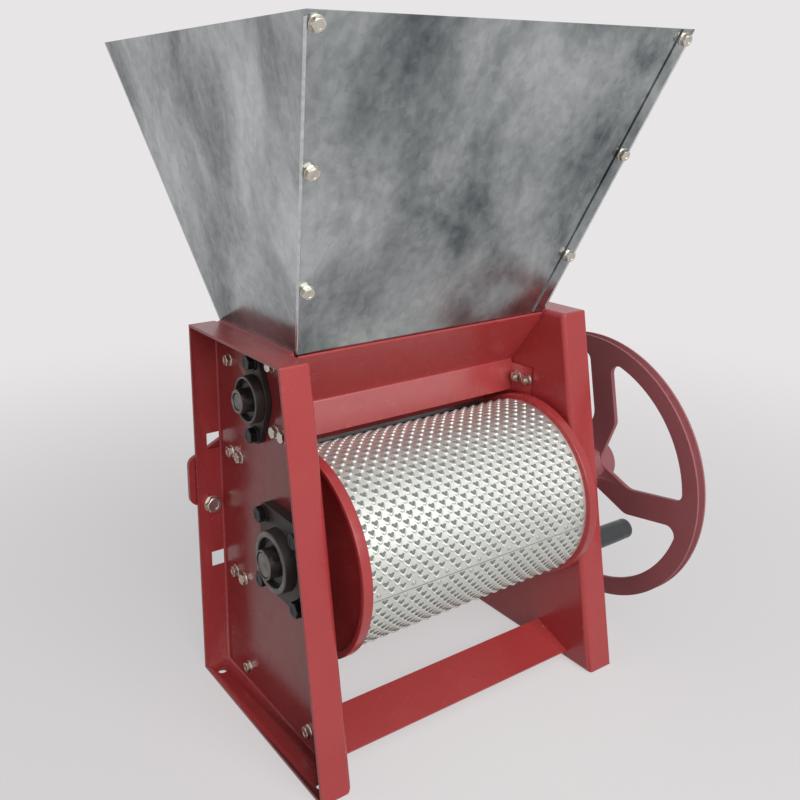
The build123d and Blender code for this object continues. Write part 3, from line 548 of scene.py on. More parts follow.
# %% [markdown]
# The frames, throat, chutes, hopper, drum ends and flywheel are copied from the CAD, and every sharp outer
# edge gets its round. A Bevel modifier reads the size of each round from a weight on the edge, and a Weighted
# Normal modifier keeps the broad faces flat. Inner corners stay as they are. The long folds of the hopper
# are remembered for a later step.

# %% Rounded edges of sheet and castings
widest_round = 2.6
round_share = 0.17
shortest_fold = 200.0


def softened(node, finish, body):
    """Copies a CAD mesh and rounds its outer edges. An edge gets a share of the narrower of the two surfaces
    beside it, up to the widest round. The long edges with the widest round are folds: their ends and the
    normals beside them are returned."""
    work = merged(node)
    wide = surface_widths(work)
    weight = work.edges.layers.float.new("bevel_weight_edge")
    for edge in work.edges:
        if len(edge.link_faces) == 2 and edge.calc_face_angle() > least_fold and edge.is_convex:
            narrow = min(wide[face] for face in edge.link_faces)
            edge[weight] = min(1.0, round_share * narrow / widest_round)
    folds = []
    for edge in work.edges:
        if edge[weight] == 1.0 and edge.calc_length() > shortest_fold * MM:
            ends = [np.array(corner.co) / MM for corner in edge.verts]
            folds.append((*ends, *(np.array(face.normal) for face in edge.link_faces)))
    mesh = bpy.data.meshes.new(node + "_rounded")
    work.to_mesh(mesh)
    work.free()
    mesh.shade_smooth()
    mesh.materials.clear()
    mesh.materials.append(finish)
    piece = bpy.data.objects.new(node + "_rounded", mesh)
    bpy.context.scene.collection.objects.link(piece)
    edge_round = piece.modifiers.new("edge_round", "BEVEL")
    edge_round.limit_method = "WEIGHT"
    edge_round.width = widest_round * MM
    edge_round.segments = 2
    edge_round.use_clamp_overlap = False
    piece.modifiers.new("flat_faces", "WEIGHTED_NORMAL")
    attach(piece, body)
    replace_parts(piece, node)
    print(piece.name, "faces before rounding:", len(mesh.polygons))
    return folds


painted = ["side_frame_left", "side_frame_right", "throat_front", "throat_rear", "chute_front", "chute_rear"]
for node in painted:
    softened(node, red_enamel, "frame")
hopper_folds = []
for node in ("hopper_left", "hopper_right", "hopper_front", "hopper_rear"):
    hopper_folds += softened(node, galvanised, "frame")
for node in ("drum_disc_left", "drum_disc_right", "flywheel"):
    softened(node, nodes[node].material_slots[0].material, "drum")

# %% [markdown]
# The pieces from here on are new meshes. One helper takes points in millimetres and faces, welds the points
# that meet at seams and poles, turns the faces of a closed shape outwards, and marks the sharp edges. It
# also ties the piece to the body it moves with.

# %% From points to a piece
def make_piece(name, shape, material, body, sharp=35.0, closed=True):
    """Makes one object from points in mm and faces, welds its seams and poles, and lets it ride."""
    points, faces = shape
    mesh = bpy.data.meshes.new(name)
    mesh.from_pydata((points.reshape(-1, 3) * MM).tolist(), [], faces.tolist())
    weld = bmesh.new()
    weld.from_mesh(mesh)
    bmesh.ops.remove_doubles(weld, verts=weld.verts, dist=1e-6)
    if closed:
        bmesh.ops.recalc_face_normals(weld, faces=weld.faces)
    weld.to_mesh(mesh)
    weld.free()
    mesh.shade_smooth()
    mesh.set_sharp_from_angle(angle=math.radians(sharp))
    mesh.materials.append(material)
    piece = bpy.data.objects.new(name, mesh)
    bpy.context.scene.collection.objects.link(piece)
    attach(piece, body)
    print(name, "faces:", len(mesh.polygons))
    return piece


print("meshes before the first new piece:", len(bpy.data.meshes))

# %% [markdown]
# The punched cover does the work of the machine. Its teeth stand in staggered rows all round the drum, and
# the sheet is rolled into a ring whose two ends meet in a riveted seam. The ring itself is a lathe surface:
# distance along the drum and arc round it are its two parameters.

# %% Rolled sheet of the drum
drum_y = -34.5
drum_z = 235.0
drum_radius = 117.0
sheet_thickness = 2.0
cover_left = -161.5
cover_right = 170.0
seam_angle = math.radians(187.5)


def on_drum(x, arc, height):
    """A point at distance x along the drum, arc millimetres round it from the seam, height off the sheet."""
    turn = seam_angle + arc / drum_radius
    r = drum_radius + height
    return np.stack(np.broadcast_arrays(x, drum_y + r * np.cos(turn), drum_z + r * np.sin(turn)), axis=-1)


girth = 2 * math.pi * drum_radius
arc = np.linspace(0, girth, 190, endpoint=False)
outside = np.stack([on_drum(x, arc, 0 * arc) for x in np.linspace(cover_left, cover_right, 5)])
inside = np.stack([on_drum(x, arc, 0 * arc - sheet_thickness) for x in (cover_right, cover_left)])
ring = np.concatenate([outside, inside])
cover = make_piece(
    "punched_cover_sheet",
    (ring, grid_faces(len(ring), len(arc), wrap_rows=True, wrap_columns=True)),
    bright_sheet,
    "drum",
)
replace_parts(cover, "drum_cover")

# %% [markdown]
# A three-sided punch leaves a heart-shaped hole with its point down, and pushes the metal below the point
# out into a small scoop. Across it, u runs from edge to edge; along it, s runs from the lip down to the
# root, where it sinks back into the sheet. Inside lies a smaller scoop in painted shade, a bright strip joins
# the two as the thickness of the lip, and a patch of painted shade stands for the hole.

# %% One tooth
tooth_height = 2.6
tooth_run = 4.0
tooth_half_width = 4.8
hole_length = 5.6
hole_shoulder = 0.66
hole_notch = 0.22
lip_thickness = 0.45
lip_dip = 0.42
hole_lift = 0.1
hole_width = 0.95 * tooth_half_width


def lip_line(u):
    """The lip is a U that points to the root: it climbs with |u| to the power 1.7, up to the shoulder."""
    return -hole_shoulder * hole_length * np.abs(u) ** 1.7


def scoop(shrink, rows):
    """Rounded scoop: with k = root of (1 - s squared), across = w u k, along goes from the lip to the run,
    and rise = h (1 - u squared) to the power 1.3 times k squared times (d + (2 - d) s). The dip d makes
    the scoop highest a little below its lip. A shrunk copy is its inside."""
    s, u = np.meshgrid(np.sin(np.linspace(0, np.pi / 2, rows)), np.linspace(-1, 1, 9), indexing="ij")
    k = np.sqrt(1 - s**2)
    across = (tooth_half_width - shrink) * u * k
    along = lip_line(u) * (1 - s) + (tooth_run - shrink) * s
    rise = (tooth_height - shrink) * (1 - u**2) ** 1.3 * k**2 * (lip_dip + (2 - lip_dip) * s)
    return np.stack([across, along, rise], axis=-1)


outer = scoop(0.0, 5)
inner = scoop(lip_thickness, 4)
lip = np.stack([outer[0], inner[0]])
a = np.linspace(-1, 1, 9)
brow = hole_shoulder + (1 - hole_shoulder) * np.sqrt(1 - a**6) - hole_notch * np.exp(-((a / 0.3) ** 2))
hole_edge = np.stack([hole_width * a, -hole_length * brow, 0 * a + hole_lift], axis=-1)
hole_foot = np.stack([hole_width * a, lip_line(a) + 0.3 * (1 - a**2), 0 * a + hole_lift], axis=-1)
hole = np.stack([hole_edge, 0.5 * (hole_edge + hole_foot), hole_foot])
print("height of a tooth in mm:", round(float(outer[..., 2].max()), 2))

# %% [markdown]
# The teeth stand in staggered rows all round the drum, except where one would meet a rivet of the seam. So
# the rivets get their places first, in two rows beside the seam, and a tooth that comes too near to one of
# them is left out.

# %% Places of rivets and teeth
rivet_count = 7
rivet_pitch = 47.5
rivet_start = -150.0
rivet_shift = -10.0
rivet_arcs = np.array([-6.5, 5.5])
rivet_clearance = 5.5
rivet_x = rivet_start + rivet_pitch * np.arange(rivet_count)
rivet_spots = np.array([(x + i * rivet_shift, t) for i, t in enumerate(rivet_arcs) for x in rivet_x])

tooth_rows = 86
teeth_in_row = 21
tooth_pitch = 15.6
seam_margin = 2.5
end_margin = 4.9
row, number = np.meshgrid(np.arange(tooth_rows), np.arange(teeth_in_row), indexing="ij")
row_arc = (girth - 2 * seam_margin) / tooth_rows
tooth_x = cover_left + end_margin + tooth_pitch * (number + 0.5 * (row % 2))
tooth_arc = seam_margin + row_arc * (row + 0.5) + (hole_length - tooth_run) / 2
middle = (tooth_arc + (tooth_run - hole_length) / 2 + girth / 2) % girth - girth / 2
gap = np.hypot(tooth_x[..., None] - rivet_spots[:, 0], middle[..., None] - rivet_spots[:, 1])
clear = np.all(gap > rivet_clearance, axis=-1)
tooth_x = tooth_x[clear]
tooth_arc = tooth_arc[clear]
print("teeth:", len(tooth_x), "rivets:", len(rivet_spots))

# %% [markdown]
# One tooth is a small grid in the flat, so all the copies come from one array operation: every point of the
# grid is added to every seat, and the formula of the drum bends the sum round. Some 1,800 copies stand
# there, so each has few faces. The bright parts make one piece and the parts in painted shade another.

# %% Teeth on the drum
def join(*shapes):
    """Puts several (points, faces) pairs into one pair."""
    starts = np.cumsum([0] + [len(points.reshape(-1, 3)) for points, _ in shapes])
    points = np.concatenate([points.reshape(-1, 3) for points, _ in shapes])
    faces = np.concatenate([faces + start for (_, faces), start in zip(shapes, starts)])
    return points, faces


def punched(grid, flip=False):
    """Sets one tooth's (across, along, height) grid down on every seat of the drum at once."""
    flat = grid.reshape(-1, 3)
    points = on_drum(tooth_x[:, None] + flat[:, 0], tooth_arc[:, None] + flat[:, 1], flat[:, 2])
    faces = grid_faces(*grid.shape[:2])
    faces = faces[:, ::-1] if flip else faces
    copies = faces[None] + (np.arange(len(tooth_x)) * len(flat))[:, None, None]
    return points.reshape(-1, 3), copies.reshape(-1, 4)


teeth = join(punched(outer), punched(lip, True))
make_piece("punched_teeth", teeth, bright_sheet, "drum", sharp=50.0, closed=False)
# The inner scoops and the hole patches are painted shade.
mouths = join(punched(inner, True), punched(hole))
make_piece("tooth_openings", mouths, mouth_shade_and_seam_dark, "drum", closed=False)

# %% [markdown]
# The rivets of the seam are domes: a quarter circle carried round its own axis. Two rows, one each side of
# the joint, hold the ends of the sheet to a strap beneath. The copies stand on their own seats, each with
# its own direction, and the bolts further on are set down by the same helper.

# %% Rivets of the seam
def stand(points, faces, seats, ways, spins=0.0):
    """Copies a shape to many seats: local x goes along each way, and y and z turn round it by the spin."""
    seats = np.asarray(seats, float)
    ways = np.asarray(ways, float)
    ways = ways / np.linalg.norm(ways, axis=1, keepdims=True)
    helper = np.where(np.abs(ways[:, 2:3]) < 0.9, (0.0, 0.0, 1.0), (0.0, 1.0, 0.0))
    side = np.cross(helper, ways)
    side = side / np.linalg.norm(side, axis=1, keepdims=True)
    up = np.cross(ways, side)
    spin = np.broadcast_to(np.asarray(spins, float), (len(seats),))[:, None]
    across = side * np.cos(spin) + up * np.sin(spin)
    along = up * np.cos(spin) - side * np.sin(spin)
    turn = np.stack([ways, across, along], axis=1)
    flat = points.reshape(-1, 3)
    moved = seats[:, None, :] + np.einsum("mk,nkw->nmw", flat, turn)
    copies = faces[None] + (np.arange(len(seats)) * len(flat))[:, None, None]
    return moved.reshape(-1, 3), copies.reshape(-1, faces.shape[1])


def dome(base, height, segments=12):
    """Rings at elevation e have radius base cos e and rise height sin e, closed at the top."""
    e, turn = np.meshgrid(
        np.linspace(0, np.pi / 2, 4), np.linspace(0, 2 * np.pi, segments, endpoint=False), indexing="ij"
    )
    r = base * np.cos(e)
    points = np.stack([height * np.sin(e), r * np.cos(turn), r * np.sin(turn)], axis=-1)
    return points, grid_faces(*e.shape, wrap_columns=True)


rivet_seats = on_drum(rivet_spots[:, 0], rivet_spots[:, 1], -0.1)
rivet_ways = rivet_seats - np.array([0.0, drum_y, drum_z])
rivet_ways[:, 0] = 0.0
rivets = stand(*dome(3.0, 1.7), rivet_seats, rivet_ways)
make_piece("seam_rivets", rivets, zinc_plate, "drum")

# %% [markdown]
# The joint of the sheet shows as a dark line. It is a low strip, with a section of five points carried along
# the drum from one end of the cover to the other.

# %% Seam
seam_x = np.linspace(cover_left, cover_right, 41)
seam_profile = [(-0.6, -0.3), (-0.5, 0.12), (0.0, 0.06), (0.5, 0.12), (0.6, -0.3)]
seam = np.stack([on_drum(seam_x, np.full(len(seam_x), t), h) for t, h in seam_profile])
seam_strip = (seam, grid_faces(*seam.shape[:2]))
make_piece("seam_line", seam_strip, mouth_shade_and_seam_dark, "drum", closed=False)

# %% [markdown]
# Much of the rest is turned on a lathe. A profile of (x, radius) pairs carried round an axis along X gives
# shafts, pulleys and the grip. Shafts here are plain bar with the inner bearing races pressed on, and a
# small groove parts the race from the end of the bar.

# %% Turned shafts and pin
feed_y = 33.0
feed_z = 410.0
crank_y = -19.87
crank_z = 95.77


def turned(profile, y, z, segments=48, ring=False):
    """Lathe: (x, r) goes to (x, y + r cos t, z + r sin t). A ring joins its last row to its first."""
    x, r = np.array(profile, float).T
    t = np.linspace(0, 2 * np.pi, segments, endpoint=False)
    round_y = y + r[:, None] * np.cos(t)
    round_z = z + r[:, None] * np.sin(t)
    points = np.stack(np.broadcast_arrays(x[:, None], round_y, round_z), axis=-1)
    return points, grid_faces(len(x), segments, wrap_rows=ring, wrap_columns=True)


def shaft_profile(radius, race, plate, reach, end):
    """Half outline of a shaft: a race of its own radius through each plate, and a chamfered far end."""
    left = [(3, 0), (1, 2), (1, radius - 1), (2, radius), (2, radius + 0.4), (0, radius + 0.6)]
    left += [(0, race - 0.6), (0.6, race), (reach - plate, race), (reach - plate, radius)]
    left = [(step - reach, r) for step, r in left]
    right = [(plate, radius), (plate, race), (reach - 0.6, race), (reach, race - 0.6), (reach, radius)]
    right += [(end - 1, radius), (end, radius - 1), (end, 2), (end - 2, 0)]
    return left + right


plate_outer = 192.0
drum_shaft = turned(shaft_profile(15.0, 17.5, plate_outer, 230.0, 324.0), drum_y, drum_z)
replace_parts(make_piece("drum_shaft_turned", drum_shaft, turned_steel, "drum"), "drum_shaft")
feed_shaft = turned(shaft_profile(10.0, 14.5, plate_outer, 223.0, 256.0), feed_y, feed_z)
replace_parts(make_piece("feed_shaft_turned", feed_shaft, turned_steel, "feed"), "feed_shaft")

pin_profile = [(295, 0), (295, 5), (296, 6), (403.4, 6), (403.4, 9.4), (404, 10), (407.2, 10)]
pin_profile += [(408.2, 9), (408.2, 5.5), (407.4, 4.5), (407.4, 0)]
crank_pin = turned(pin_profile, crank_y, crank_z, 36)
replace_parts(make_piece("crank_pin_turned", crank_pin, turned_steel, "drum"), "crank_pin")

# %% [markdown]
# The grip is moulded and turns freely on its pin. A mould wants rounded ends, and a hand wants a slight
# swell in the middle with a few shallow rings, so the outline follows a gentle arch with small dips in it.

# %% Grip
grip_start = 310.4
grip_end = 408.4
s = np.linspace(0, 1, 61)
swell = 14.9 + 0.6 * np.sin(np.pi * s)
from_rings = (s[:, None] - np.array([0.12, 0.16, 0.84, 0.88])) * (grip_end - grip_start)
ring_dips = 0.35 * np.exp(-((from_rings / 1.3) ** 2)).sum(axis=1)
rounding = np.sqrt(np.clip(1 - (1 - np.clip(np.minimum(s, 1 - s) / 0.04, 0, 1)) ** 2, 0, 1))
side = np.stack([grip_start + s * (grip_end - grip_start), swell - ring_dips - 3.0 * (1 - rounding)], axis=-1)
bore = [(grip_end, 10.5), (402.9, 10.5), (402.9, 6.1), (grip_start, 6.1)]
grip = turned(np.concatenate([side, bore]), crank_y, crank_z, 48, ring=True)
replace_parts(make_piece("grip_moulding", grip, grip_plastic, "grip"), "crank_grip")

# %% [markdown]
# The belt pulleys are small castings: a rim that carries the flat belt, a thinner web, and a hub with
# drafted sides. One profile, closed on itself, gives each of them.

# %% Pulleys
def pulley_profile(bore, hub, rim, start=238.0, width=18.0):
    """Section of a pulley: bore, hub face, web set back on both sides, rim with rounded edges."""
    half = [(0, bore), (0, hub), (4.5, hub + 1), (5, hub + 2), (5, rim - 6), (4, rim - 5)]
    half += [(0, rim - 4.4), (0, rim - 0.8), (0.8, rim)]
    near_side = [(start + x, r) for x, r in half]
    far_side = [(start + width - x, r) for x, r in reversed(half)]
    return near_side + far_side


drive = turned(pulley_profile(15.05, 21.0, 35.0), drum_y, drum_z, 64, ring=True)
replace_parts(make_piece("drive_pulley_cast", drive, red_casting, "drum"), "drive_pulley")
feed = turned(pulley_profile(10.05, 18.0, 52.5), feed_y, feed_z, 64, ring=True)
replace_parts(make_piece("feed_pulley_cast", feed, red_casting, "feed"), "feed_pulley")

# %% [markdown]
# A bearing housing is a casting: a flange with rounded edges, a round boss with a little draft, and a recess
# for the bearing. Seen along the shaft, the flange is the hull of a few circles. For each direction the
# circle that reaches furthest gives the point of the hull, so a row of the grid can be any such outline,
# and rows stacked along the shaft make the whole casting in one surface.

# %% Outline and rows of a housing
turn = np.linspace(0, 2 * np.pi, 96, endpoint=False)
ways = np.stack([np.cos(turn), np.sin(turn)], axis=-1)


def loop(height, centres, radii):
    """Hull of circles at one height: in direction n, c + r n of the circle with the largest c . n + r."""
    centres = np.asarray(centres, float)
    radii = np.asarray(radii, float)
    pick = np.argmax(ways @ centres.T + radii, axis=1)
    flat = centres[pick] + radii[pick][:, None] * ways
    return np.column_stack([np.full(len(flat), height), flat])


def housing(centres, radii, flange, boss_foot, boss, height, recess, bore, depth=8.0):
    """Rows from the bore at the plate, round the flange and up the boss, into the recess and back."""
    radii = np.asarray(radii, float)
    rows = [loop(0, [(0, 0)], [bore])]
    edge = [(0, 0), (flange - 1.2, 0), (flange - 0.4, 0.3), (flange, 1)]
    rows += [loop(h, centres, radii - inset) for h, inset in edge]
    collar = [(flange, boss_foot), (flange + 1, boss + 0.4), (flange + 2.5, boss), (height - 1.6, boss - 0.4)]
    collar += [(height - 0.5, boss - 0.9), (height, boss - 2), (height, recess + 0.8), (height - 0.8, recess)]
    collar += [(height - depth, recess), (height - depth, bore)]
    rows += [loop(h, [(0, 0)], [r]) for h, r in collar]
    return np.stack(rows)


print("points in one outline:", len(ways))

# %% [markdown]
# The drum shaft runs in square units with four bolts, and the feed shaft in oval ones with two. The right
# side mirrors the left, so one casting of each kind is placed twice.

# %% Bearing housings
drum_flange = 13.0
drum_face = 29.0
drum_boss = 37.0
drum_recess = 29.0
feed_flange = 8.0
feed_face = 20.5
feed_boss = 28.8
feed_recess = 25.0
feed_reach = 45.0
corner = 40.0
square_unit = housing(
    [(-corner, -corner), (corner, -corner), (corner, corner), (-corner, corner)],
    [14.0] * 4, drum_flange, 39.0, drum_boss, drum_face, drum_recess, 17.8,
)
oval_unit = housing(
    [(0, 0), (0, feed_reach), (0, -feed_reach)],
    [30.0, 11.5, 11.5], feed_flange, 29.0, feed_boss, feed_face, feed_recess, 14.8,
)
unit_faces = grid_faces(len(square_unit), len(turn), wrap_rows=True, wrap_columns=True)
sides = {"left": -1.0, "right": 1.0}
for name, side in sides.items():
    for kind, unit, y, z in (("drum", square_unit, drum_y, drum_z), ("feed", oval_unit, feed_y, feed_z)):
        placed = unit * (side, 1.0, 1.0) + (side * plate_outer, y, z)
        made = make_piece(f"{kind}_housing_{name}", (placed, unit_faces), dark_iron, "frame")
        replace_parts(made, f"{kind}_bearing_{name}")

# %% [markdown]
# Deep in each recess sits the bearing itself: the edge of the outer race, a groove, and a pressed shield
# round the inner race, which turns with the shaft. The end of the boss carries a thin ring of bare turned
# steel, lighter than the rest: a painted highlight, a thin bright ring that shows where the casting ends.

# %% Bearing inserts and painted highlights on the bosses
def insert_profile(face, outer, inner):
    """Outer race with a rounded edge, a groove, and a shield that dips towards the shaft."""
    steps = [(-8, outer), (-5.6, outer), (-5, outer - 0.6), (-5, outer - 3), (-6.2, outer - 3.4)]
    steps += [(-6.2, outer - 4.2), (-5.5, outer - 4.8), (-6.4, inner + 0.3), (-8, inner + 0.3)]
    return [(face + h, r) for h, r in steps]


def rim_highlight_profile(face, boss, recess):
    """A thin flat ring on the end of the boss, its edges rounded off."""
    steps = [(-0.7, recess + 0.5), (0.0, recess + 0.9), (0.06, recess + 1.1), (0.06, boss - 2.2)]
    steps += [(-0.2, boss - 1.4), (-0.9, boss - 0.6), (-1.2, boss - 1.2), (-1.2, recess + 0.6)]
    return [(face + h, r) for h, r in steps]


unit_sizes = {
    "drum": (drum_y, drum_z, drum_face, drum_boss, drum_recess, 17.6),
    "feed": (feed_y, feed_z, feed_face, feed_boss, feed_recess, 14.6),
}
for name, side in sides.items():
    for kind, (y, z, face, boss, recess, race) in unit_sizes.items():
        profile = [(side * (plate_outer + h), r) for h, r in insert_profile(face, recess - 0.1, race)]
        ring = turned(profile, y, z, 64, ring=True)
        make_piece(f"{kind}_insert_{name}", ring, black_oxide, "frame")
        # Painted highlight: a ring of lighter bare steel on the end of each boss.
        profile = [(side * (plate_outer + h), r) for h, r in rim_highlight_profile(face, boss, recess)]
        ring = turned(profile, y, z, 64, ring=True)
        make_piece(f"{kind}_rim_highlight_{name}", ring, turned_steel, "frame")

# %% [markdown]
# A bolt is one surface from tip to tip. Each ring is a function of the angle: round for shank and washer,
# six-sided for the head, where the radius is the half width over the cosine of the angle from the nearest
# flat. The crown is a cone that cuts the six corners, so the height of the last six-sided ring follows the
# radius, and the curved chamfer of a real head appears by itself.

# %% Shape of a bolt or nut
def fastener(across, height, washer, washer_height, thread, shank=0.0, tail=0.0, segments=24):
    """Washer, hexagon and, where tail is set, the end of the bolt; a shank goes down through the plate."""
    t = np.linspace(0, 2 * np.pi, segments, endpoint=False)
    flat = across / 2 / np.cos((t + np.pi / 6) % (np.pi / 3) - np.pi / 6)
    crown = 0.95 * across / 2
    top = washer_height + height
    hexagon = [(washer_height + 0 * t, flat), (top - (flat - crown) * math.tan(math.radians(30)), flat)]
    round_rings = [(-shank, 0), (-shank, thread), (0, thread), (0, washer), (washer_height * 0.7, washer)]
    round_rings += [(washer_height, washer - washer_height * 0.3)]
    end_rings = [(top, crown)]
    if tail:
        end_rings += [(top, thread), (top + tail - 0.8, thread), (top + tail, thread - 0.8), (top + tail, 0)]
    else:
        end_rings += [(top, 0.6 * crown), (top - 0.4, 0.55 * crown), (top - 0.4, 0)]
    rings = round_rings + hexagon + end_rings
    x = np.stack([np.broadcast_to(h, t.shape) for h, _ in rings])
    r = np.stack([np.broadcast_to(v, t.shape) for _, v in rings])
    points = np.stack([x, r * np.cos(t), r * np.sin(t)], axis=-1)
    return points, grid_faces(len(rings), segments, wrap_columns=True)


big_head = fastener(17.0, 8.3, 10.5, 2.2, 5.0)
big_nut = fastener(17.0, 7.2, 10.0, 1.8, 5.0, tail=3.0)
small_head = fastener(13.0, 5.3, 8.2, 1.6, 4.0)
small_nut = fastener(13.0, 5.6, 8.0, 1.4, 4.0, tail=3.0)
clamp_head = fastener(13.0, 5.3, 8.2, 1.4, 4.0, shank=4.4)
print("points in a bolt head:", big_head[0].size // 3)

# %% [markdown]
# Bolts of the same kind stand at the same places on both side plates, with their heads outside and their
# nuts inside. Nobody lines the heads up with a spanner, so each one is turned by an angle of its own, drawn
# from a seeded generator that gives the same angles on every run.

# %% Bolts of the bearings and the breast
plate_inner = 188.0
throat_tab = 1.5
rng = np.random.default_rng(7)


def both_sides(spots, distance, outward):
    """Seats at (y, z) spots on both side plates, and the way each fastener faces."""
    seats = np.array([(side * distance, y, z) for side in sides.values() for y, z in spots])
    facing = np.sign(seats[:, :1]) * (1 if outward else -1) * np.array([[1.0, 0.0, 0.0]])
    return seats, facing, rng.uniform(0, np.pi / 3, len(seats))


corner_pitch = 41.5
drum_spots = [(drum_y + i * corner_pitch, drum_z + k * corner_pitch) for i in (-1, 1) for k in (-1, 1)]
low_spot = (feed_y, feed_z - feed_reach)
high_spot = (feed_y, feed_z + feed_reach)
drum_bolts = join(
    stand(*big_head, *both_sides(drum_spots, plate_outer + drum_flange, True)),
    stand(*big_nut, *both_sides(drum_spots, plate_inner, False)),
)
made = make_piece("drum_bearing_fasteners", drum_bolts, black_oxide, "frame", sharp=25)
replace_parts(made, "drum_bearing_bolts")
feed_bolts = join(
    stand(*big_head, *both_sides([low_spot, high_spot], plate_outer + feed_flange, True)),
    stand(*big_nut, *both_sides([low_spot], plate_inner, False)),
    stand(*big_nut, *both_sides([high_spot], plate_inner - throat_tab, False)),
)
made = make_piece("feed_bearing_fasteners", feed_bolts, black_oxide, "frame", sharp=25)
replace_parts(made, "feed_bearing_bolts")
clamp_seat = 192.3
clamp_spots = [(y, z) for y in (92.0, 116.5) for z in (315.0, 149.0)]
clamps = stand(*clamp_head, *both_sides(clamp_spots, clamp_seat, True))
made = make_piece("breast_fasteners", clamps, zinc_plate, "breast", sharp=25)
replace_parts(made, "breast_bolts")

# %% [markdown]
# Small zinc bolts hold the throat plates, chutes and hopper. The ones at the corners of the hopper stand
# square to sheets that lean, so their direction is the sheet's own normal, and their places follow from
# the height and the two leans.

# %% Bolts of sheets and hopper
plate_spots = {
    2.5: [(-4, 378), (-24, 378), (114, 437)],
    3.0: [(-65.6, 24), (87.9, 24)],
    throat_tab: [(2, 456)],
}
shapes = []
for tab, spots in plate_spots.items():
    shapes.append(stand(*small_head, *both_sides(spots, plate_outer, True)))
    shapes.append(stand(*small_nut, *both_sides(spots, plate_inner - tab, False)))
make_piece("plate_fasteners", join(*shapes), zinc_plate, "frame", sharp=25)

hopper_foot = 480.0
end_lean = 0.2006
lap_middle = 11.0
shapes = []
for way, foot, lean, heights in ((-1, 46.5, 0.4456, (558, 687, 819)), (1, 143.5, 0.4828, (558, 687, 805))):
    slant = math.hypot(1, lean)
    normal = np.array([0.0, way, -lean]) / slant
    z = np.repeat(np.array(heights, float), 2)
    x = np.tile([-1.0, 1.0], 3) * (plate_inner + end_lean * (z - hopper_foot) - lap_middle)
    sheet = np.stack([x, way * (foot + lean * (z - hopper_foot)), z], axis=-1)
    spins = rng.uniform(0, np.pi / 3, 6)
    shapes.append(stand(*small_head, sheet + 1.75 * normal, np.tile(normal, (6, 1)), spins))
    shapes.append(stand(*small_nut, sheet - 1.5 * normal, np.tile(-normal, (6, 1)), spins))
make_piece("hopper_fasteners", join(*shapes), zinc_plate, "frame", sharp=25)

# %% [markdown]
# Bent strips finish the throat. The sheet under the hopper runs up in front of the hopper's foot and ends in
# a rolled hem, and the lip above the drum is faced with a strip whose top edge is folded back. That strip
# has a thick coat of paint, so it shines more. Round edges like these draw thin lines of light. Each is one
# section carried along a straight path.

# %% Hem and lip of the throat
def carried(first, last):
    """A closed section at the start and the end of a straight path, with both ends drawn to their middle."""
    first = np.asarray(first, float)
    last = np.asarray(last, float)
    caps = [np.broadcast_to(end.mean(axis=0), end.shape) for end in (first, last)]
    return np.stack([caps[0], first, last, caps[1]]), grid_faces(4, len(first), wrap_columns=True)


def arc_points(centre, radius, start, stop, count):
    """Points (y, z) at even angles from start to stop, in degrees, round a centre."""
    turn = np.radians(np.linspace(start, stop, count))
    return np.asarray(centre) + radius * np.stack([np.cos(turn), np.sin(turn)], axis=-1)


throat_top = np.array([-41.15, 465.5])
up_slope = np.array([-0.619, 0.786])
off_slope = np.array([0.786, 0.619])
hem_middle = throat_top + 11.0 * up_slope + 2.2 * off_slope
hem = arc_points(hem_middle, 1.7, 232, -10, 10)
hem_foot = [throat_top - up_slope + 2.3 * off_slope, throat_top - up_slope - 0.05 * off_slope]
hem_section = np.concatenate([hem, hem_foot])
fresh_enamel = red_enamel.copy()
fresh_enamel.name = "red_enamel_thick_coat"
gloss = fresh_enamel.node_tree.nodes["Principled BSDF"].inputs
gloss["Coat Weight"].default_value = 1.0
gloss["Coat Roughness"].default_value = 0.3
gloss["Coat IOR"].default_value = 1.9
lip_face = 8.2
lip_foot = 356.6
lip_bend = 3.2
lip_round = arc_points((lip_face + lip_bend, 397.6), lip_bend, 180, 75, 7)
lip_section = np.concatenate([[(11.6, lip_foot), (lip_face, lip_foot)], lip_round])
strip_end = 185.0
for name, section in (("throat_hem", hem_section), ("throat_lip_strip", lip_section)):
    ends = [np.column_stack([np.full(len(section), x), section]) for x in (-strip_end, strip_end)]
    coat = fresh_enamel if name == "throat_lip_strip" else red_enamel
    make_piece(name, carried(*ends), coat, "frame", sharp=60.0)

# %% [markdown]
# A painted bead of sealer fills the groove between each end sheet of the hopper and the bend of its side
# frame, and a round strip with a painted highlight follows each fold. With b as the angle between the
# normals of the two sheets and f as the share of the way from one to the other, the round points along
# sin((1 - f) b) of the first normal plus sin(f b) of the second, over sin b. The share runs a little past
# 0 and 1, so that the edges of the round sink into the sheets.

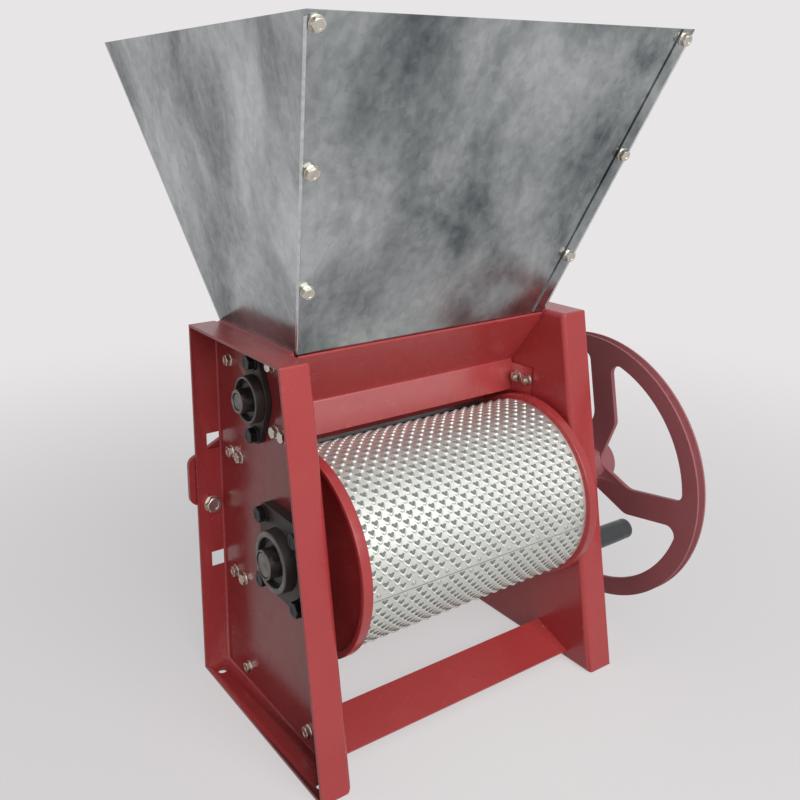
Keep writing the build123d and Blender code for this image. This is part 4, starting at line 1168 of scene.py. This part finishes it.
# %% Beads and folds of the hopper
bead = [(188.05, 473.6), (190.2, 477.9), (194.8, 480.05), (191.6, 480.6), (188.6, 482.6)]
for name, side in sides.items():
    ends = [[(side * x, y, z) for x, z in bead] for y in (-45.0, 143.0)]
    make_piece(f"hopper_bead_{name}", carried(*ends), red_enamel, "frame")
fold_trim = 6.0
fold_radius = 1.7
fold_inset = 1.03
fold_share = np.linspace(-0.6, 1.6, 13)[:, None]
for number, (top, foot, one, other) in enumerate(hopper_folds):
    bend = math.acos(float(one @ other))
    outward = (np.sin((1 - fold_share) * bend) * one + np.sin(fold_share * bend) * other) / math.sin(bend)
    section = fold_radius * outward - fold_inset * (one + other)
    run = fold_trim * (foot - top) / np.linalg.norm(foot - top)
    strip = carried(top + run + section, foot - run + section)
    # Each strip carries the painted highlight of its fold.
    make_piece(f"hopper_fold_{number + 1}", strip, fold_highlight, "frame", sharp=60.0)
print("hopper folds:", len(hopper_folds))

# %% [markdown]
# The adjusting screws push the breast towards the drum, so their threads show. A thread is a cylinder whose
# radius rises and falls along a helix: the phase is the distance over the pitch minus the turn, and a
# triangle wave of that phase gives the flanks.

# %% Adjusting screws
screw_head = fastener(19.0, 7.0, 11.5, 1.0, 5.4)
screw_x = 208.0
screw_z = 235.0
screw_start = 149.5
screw_end = 174.5
thread_pitch = 1.75
thread_root = 5.0
along = np.linspace(screw_start, screw_end, 151)
y, t = np.meshgrid(along, np.linspace(0, 2 * np.pi, 24, endpoint=False), indexing="ij")
wave = np.abs(2 * ((y / thread_pitch - t / (2 * np.pi)) % 1) - 1)
r = thread_root + wave * np.clip((screw_end - y) / 2, 0, 1)
centre = 0 * t[:1]
for name, side in sides.items():
    shank = np.stack([side * screw_x + r * np.cos(t), y, screw_z + r * np.sin(t)], axis=-1)
    tip = np.stack([side * screw_x + centre, screw_end + 0.8 + centre, screw_z + centre], axis=-1)
    thread = np.concatenate([shank, tip])
    head = stand(*screw_head, [(side * screw_x, screw_start - 0.1, screw_z)], [(0.0, -1.0, 0.0)], 0.3)
    screw = join(head, (thread, grid_faces(len(thread), 24, wrap_columns=True)))
    made = make_piece(f"adjuster_threaded_{name}", screw, zinc_plate, f"screw_{name}", sharp=25)
    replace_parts(made, f"adjuster_screw_{name}")
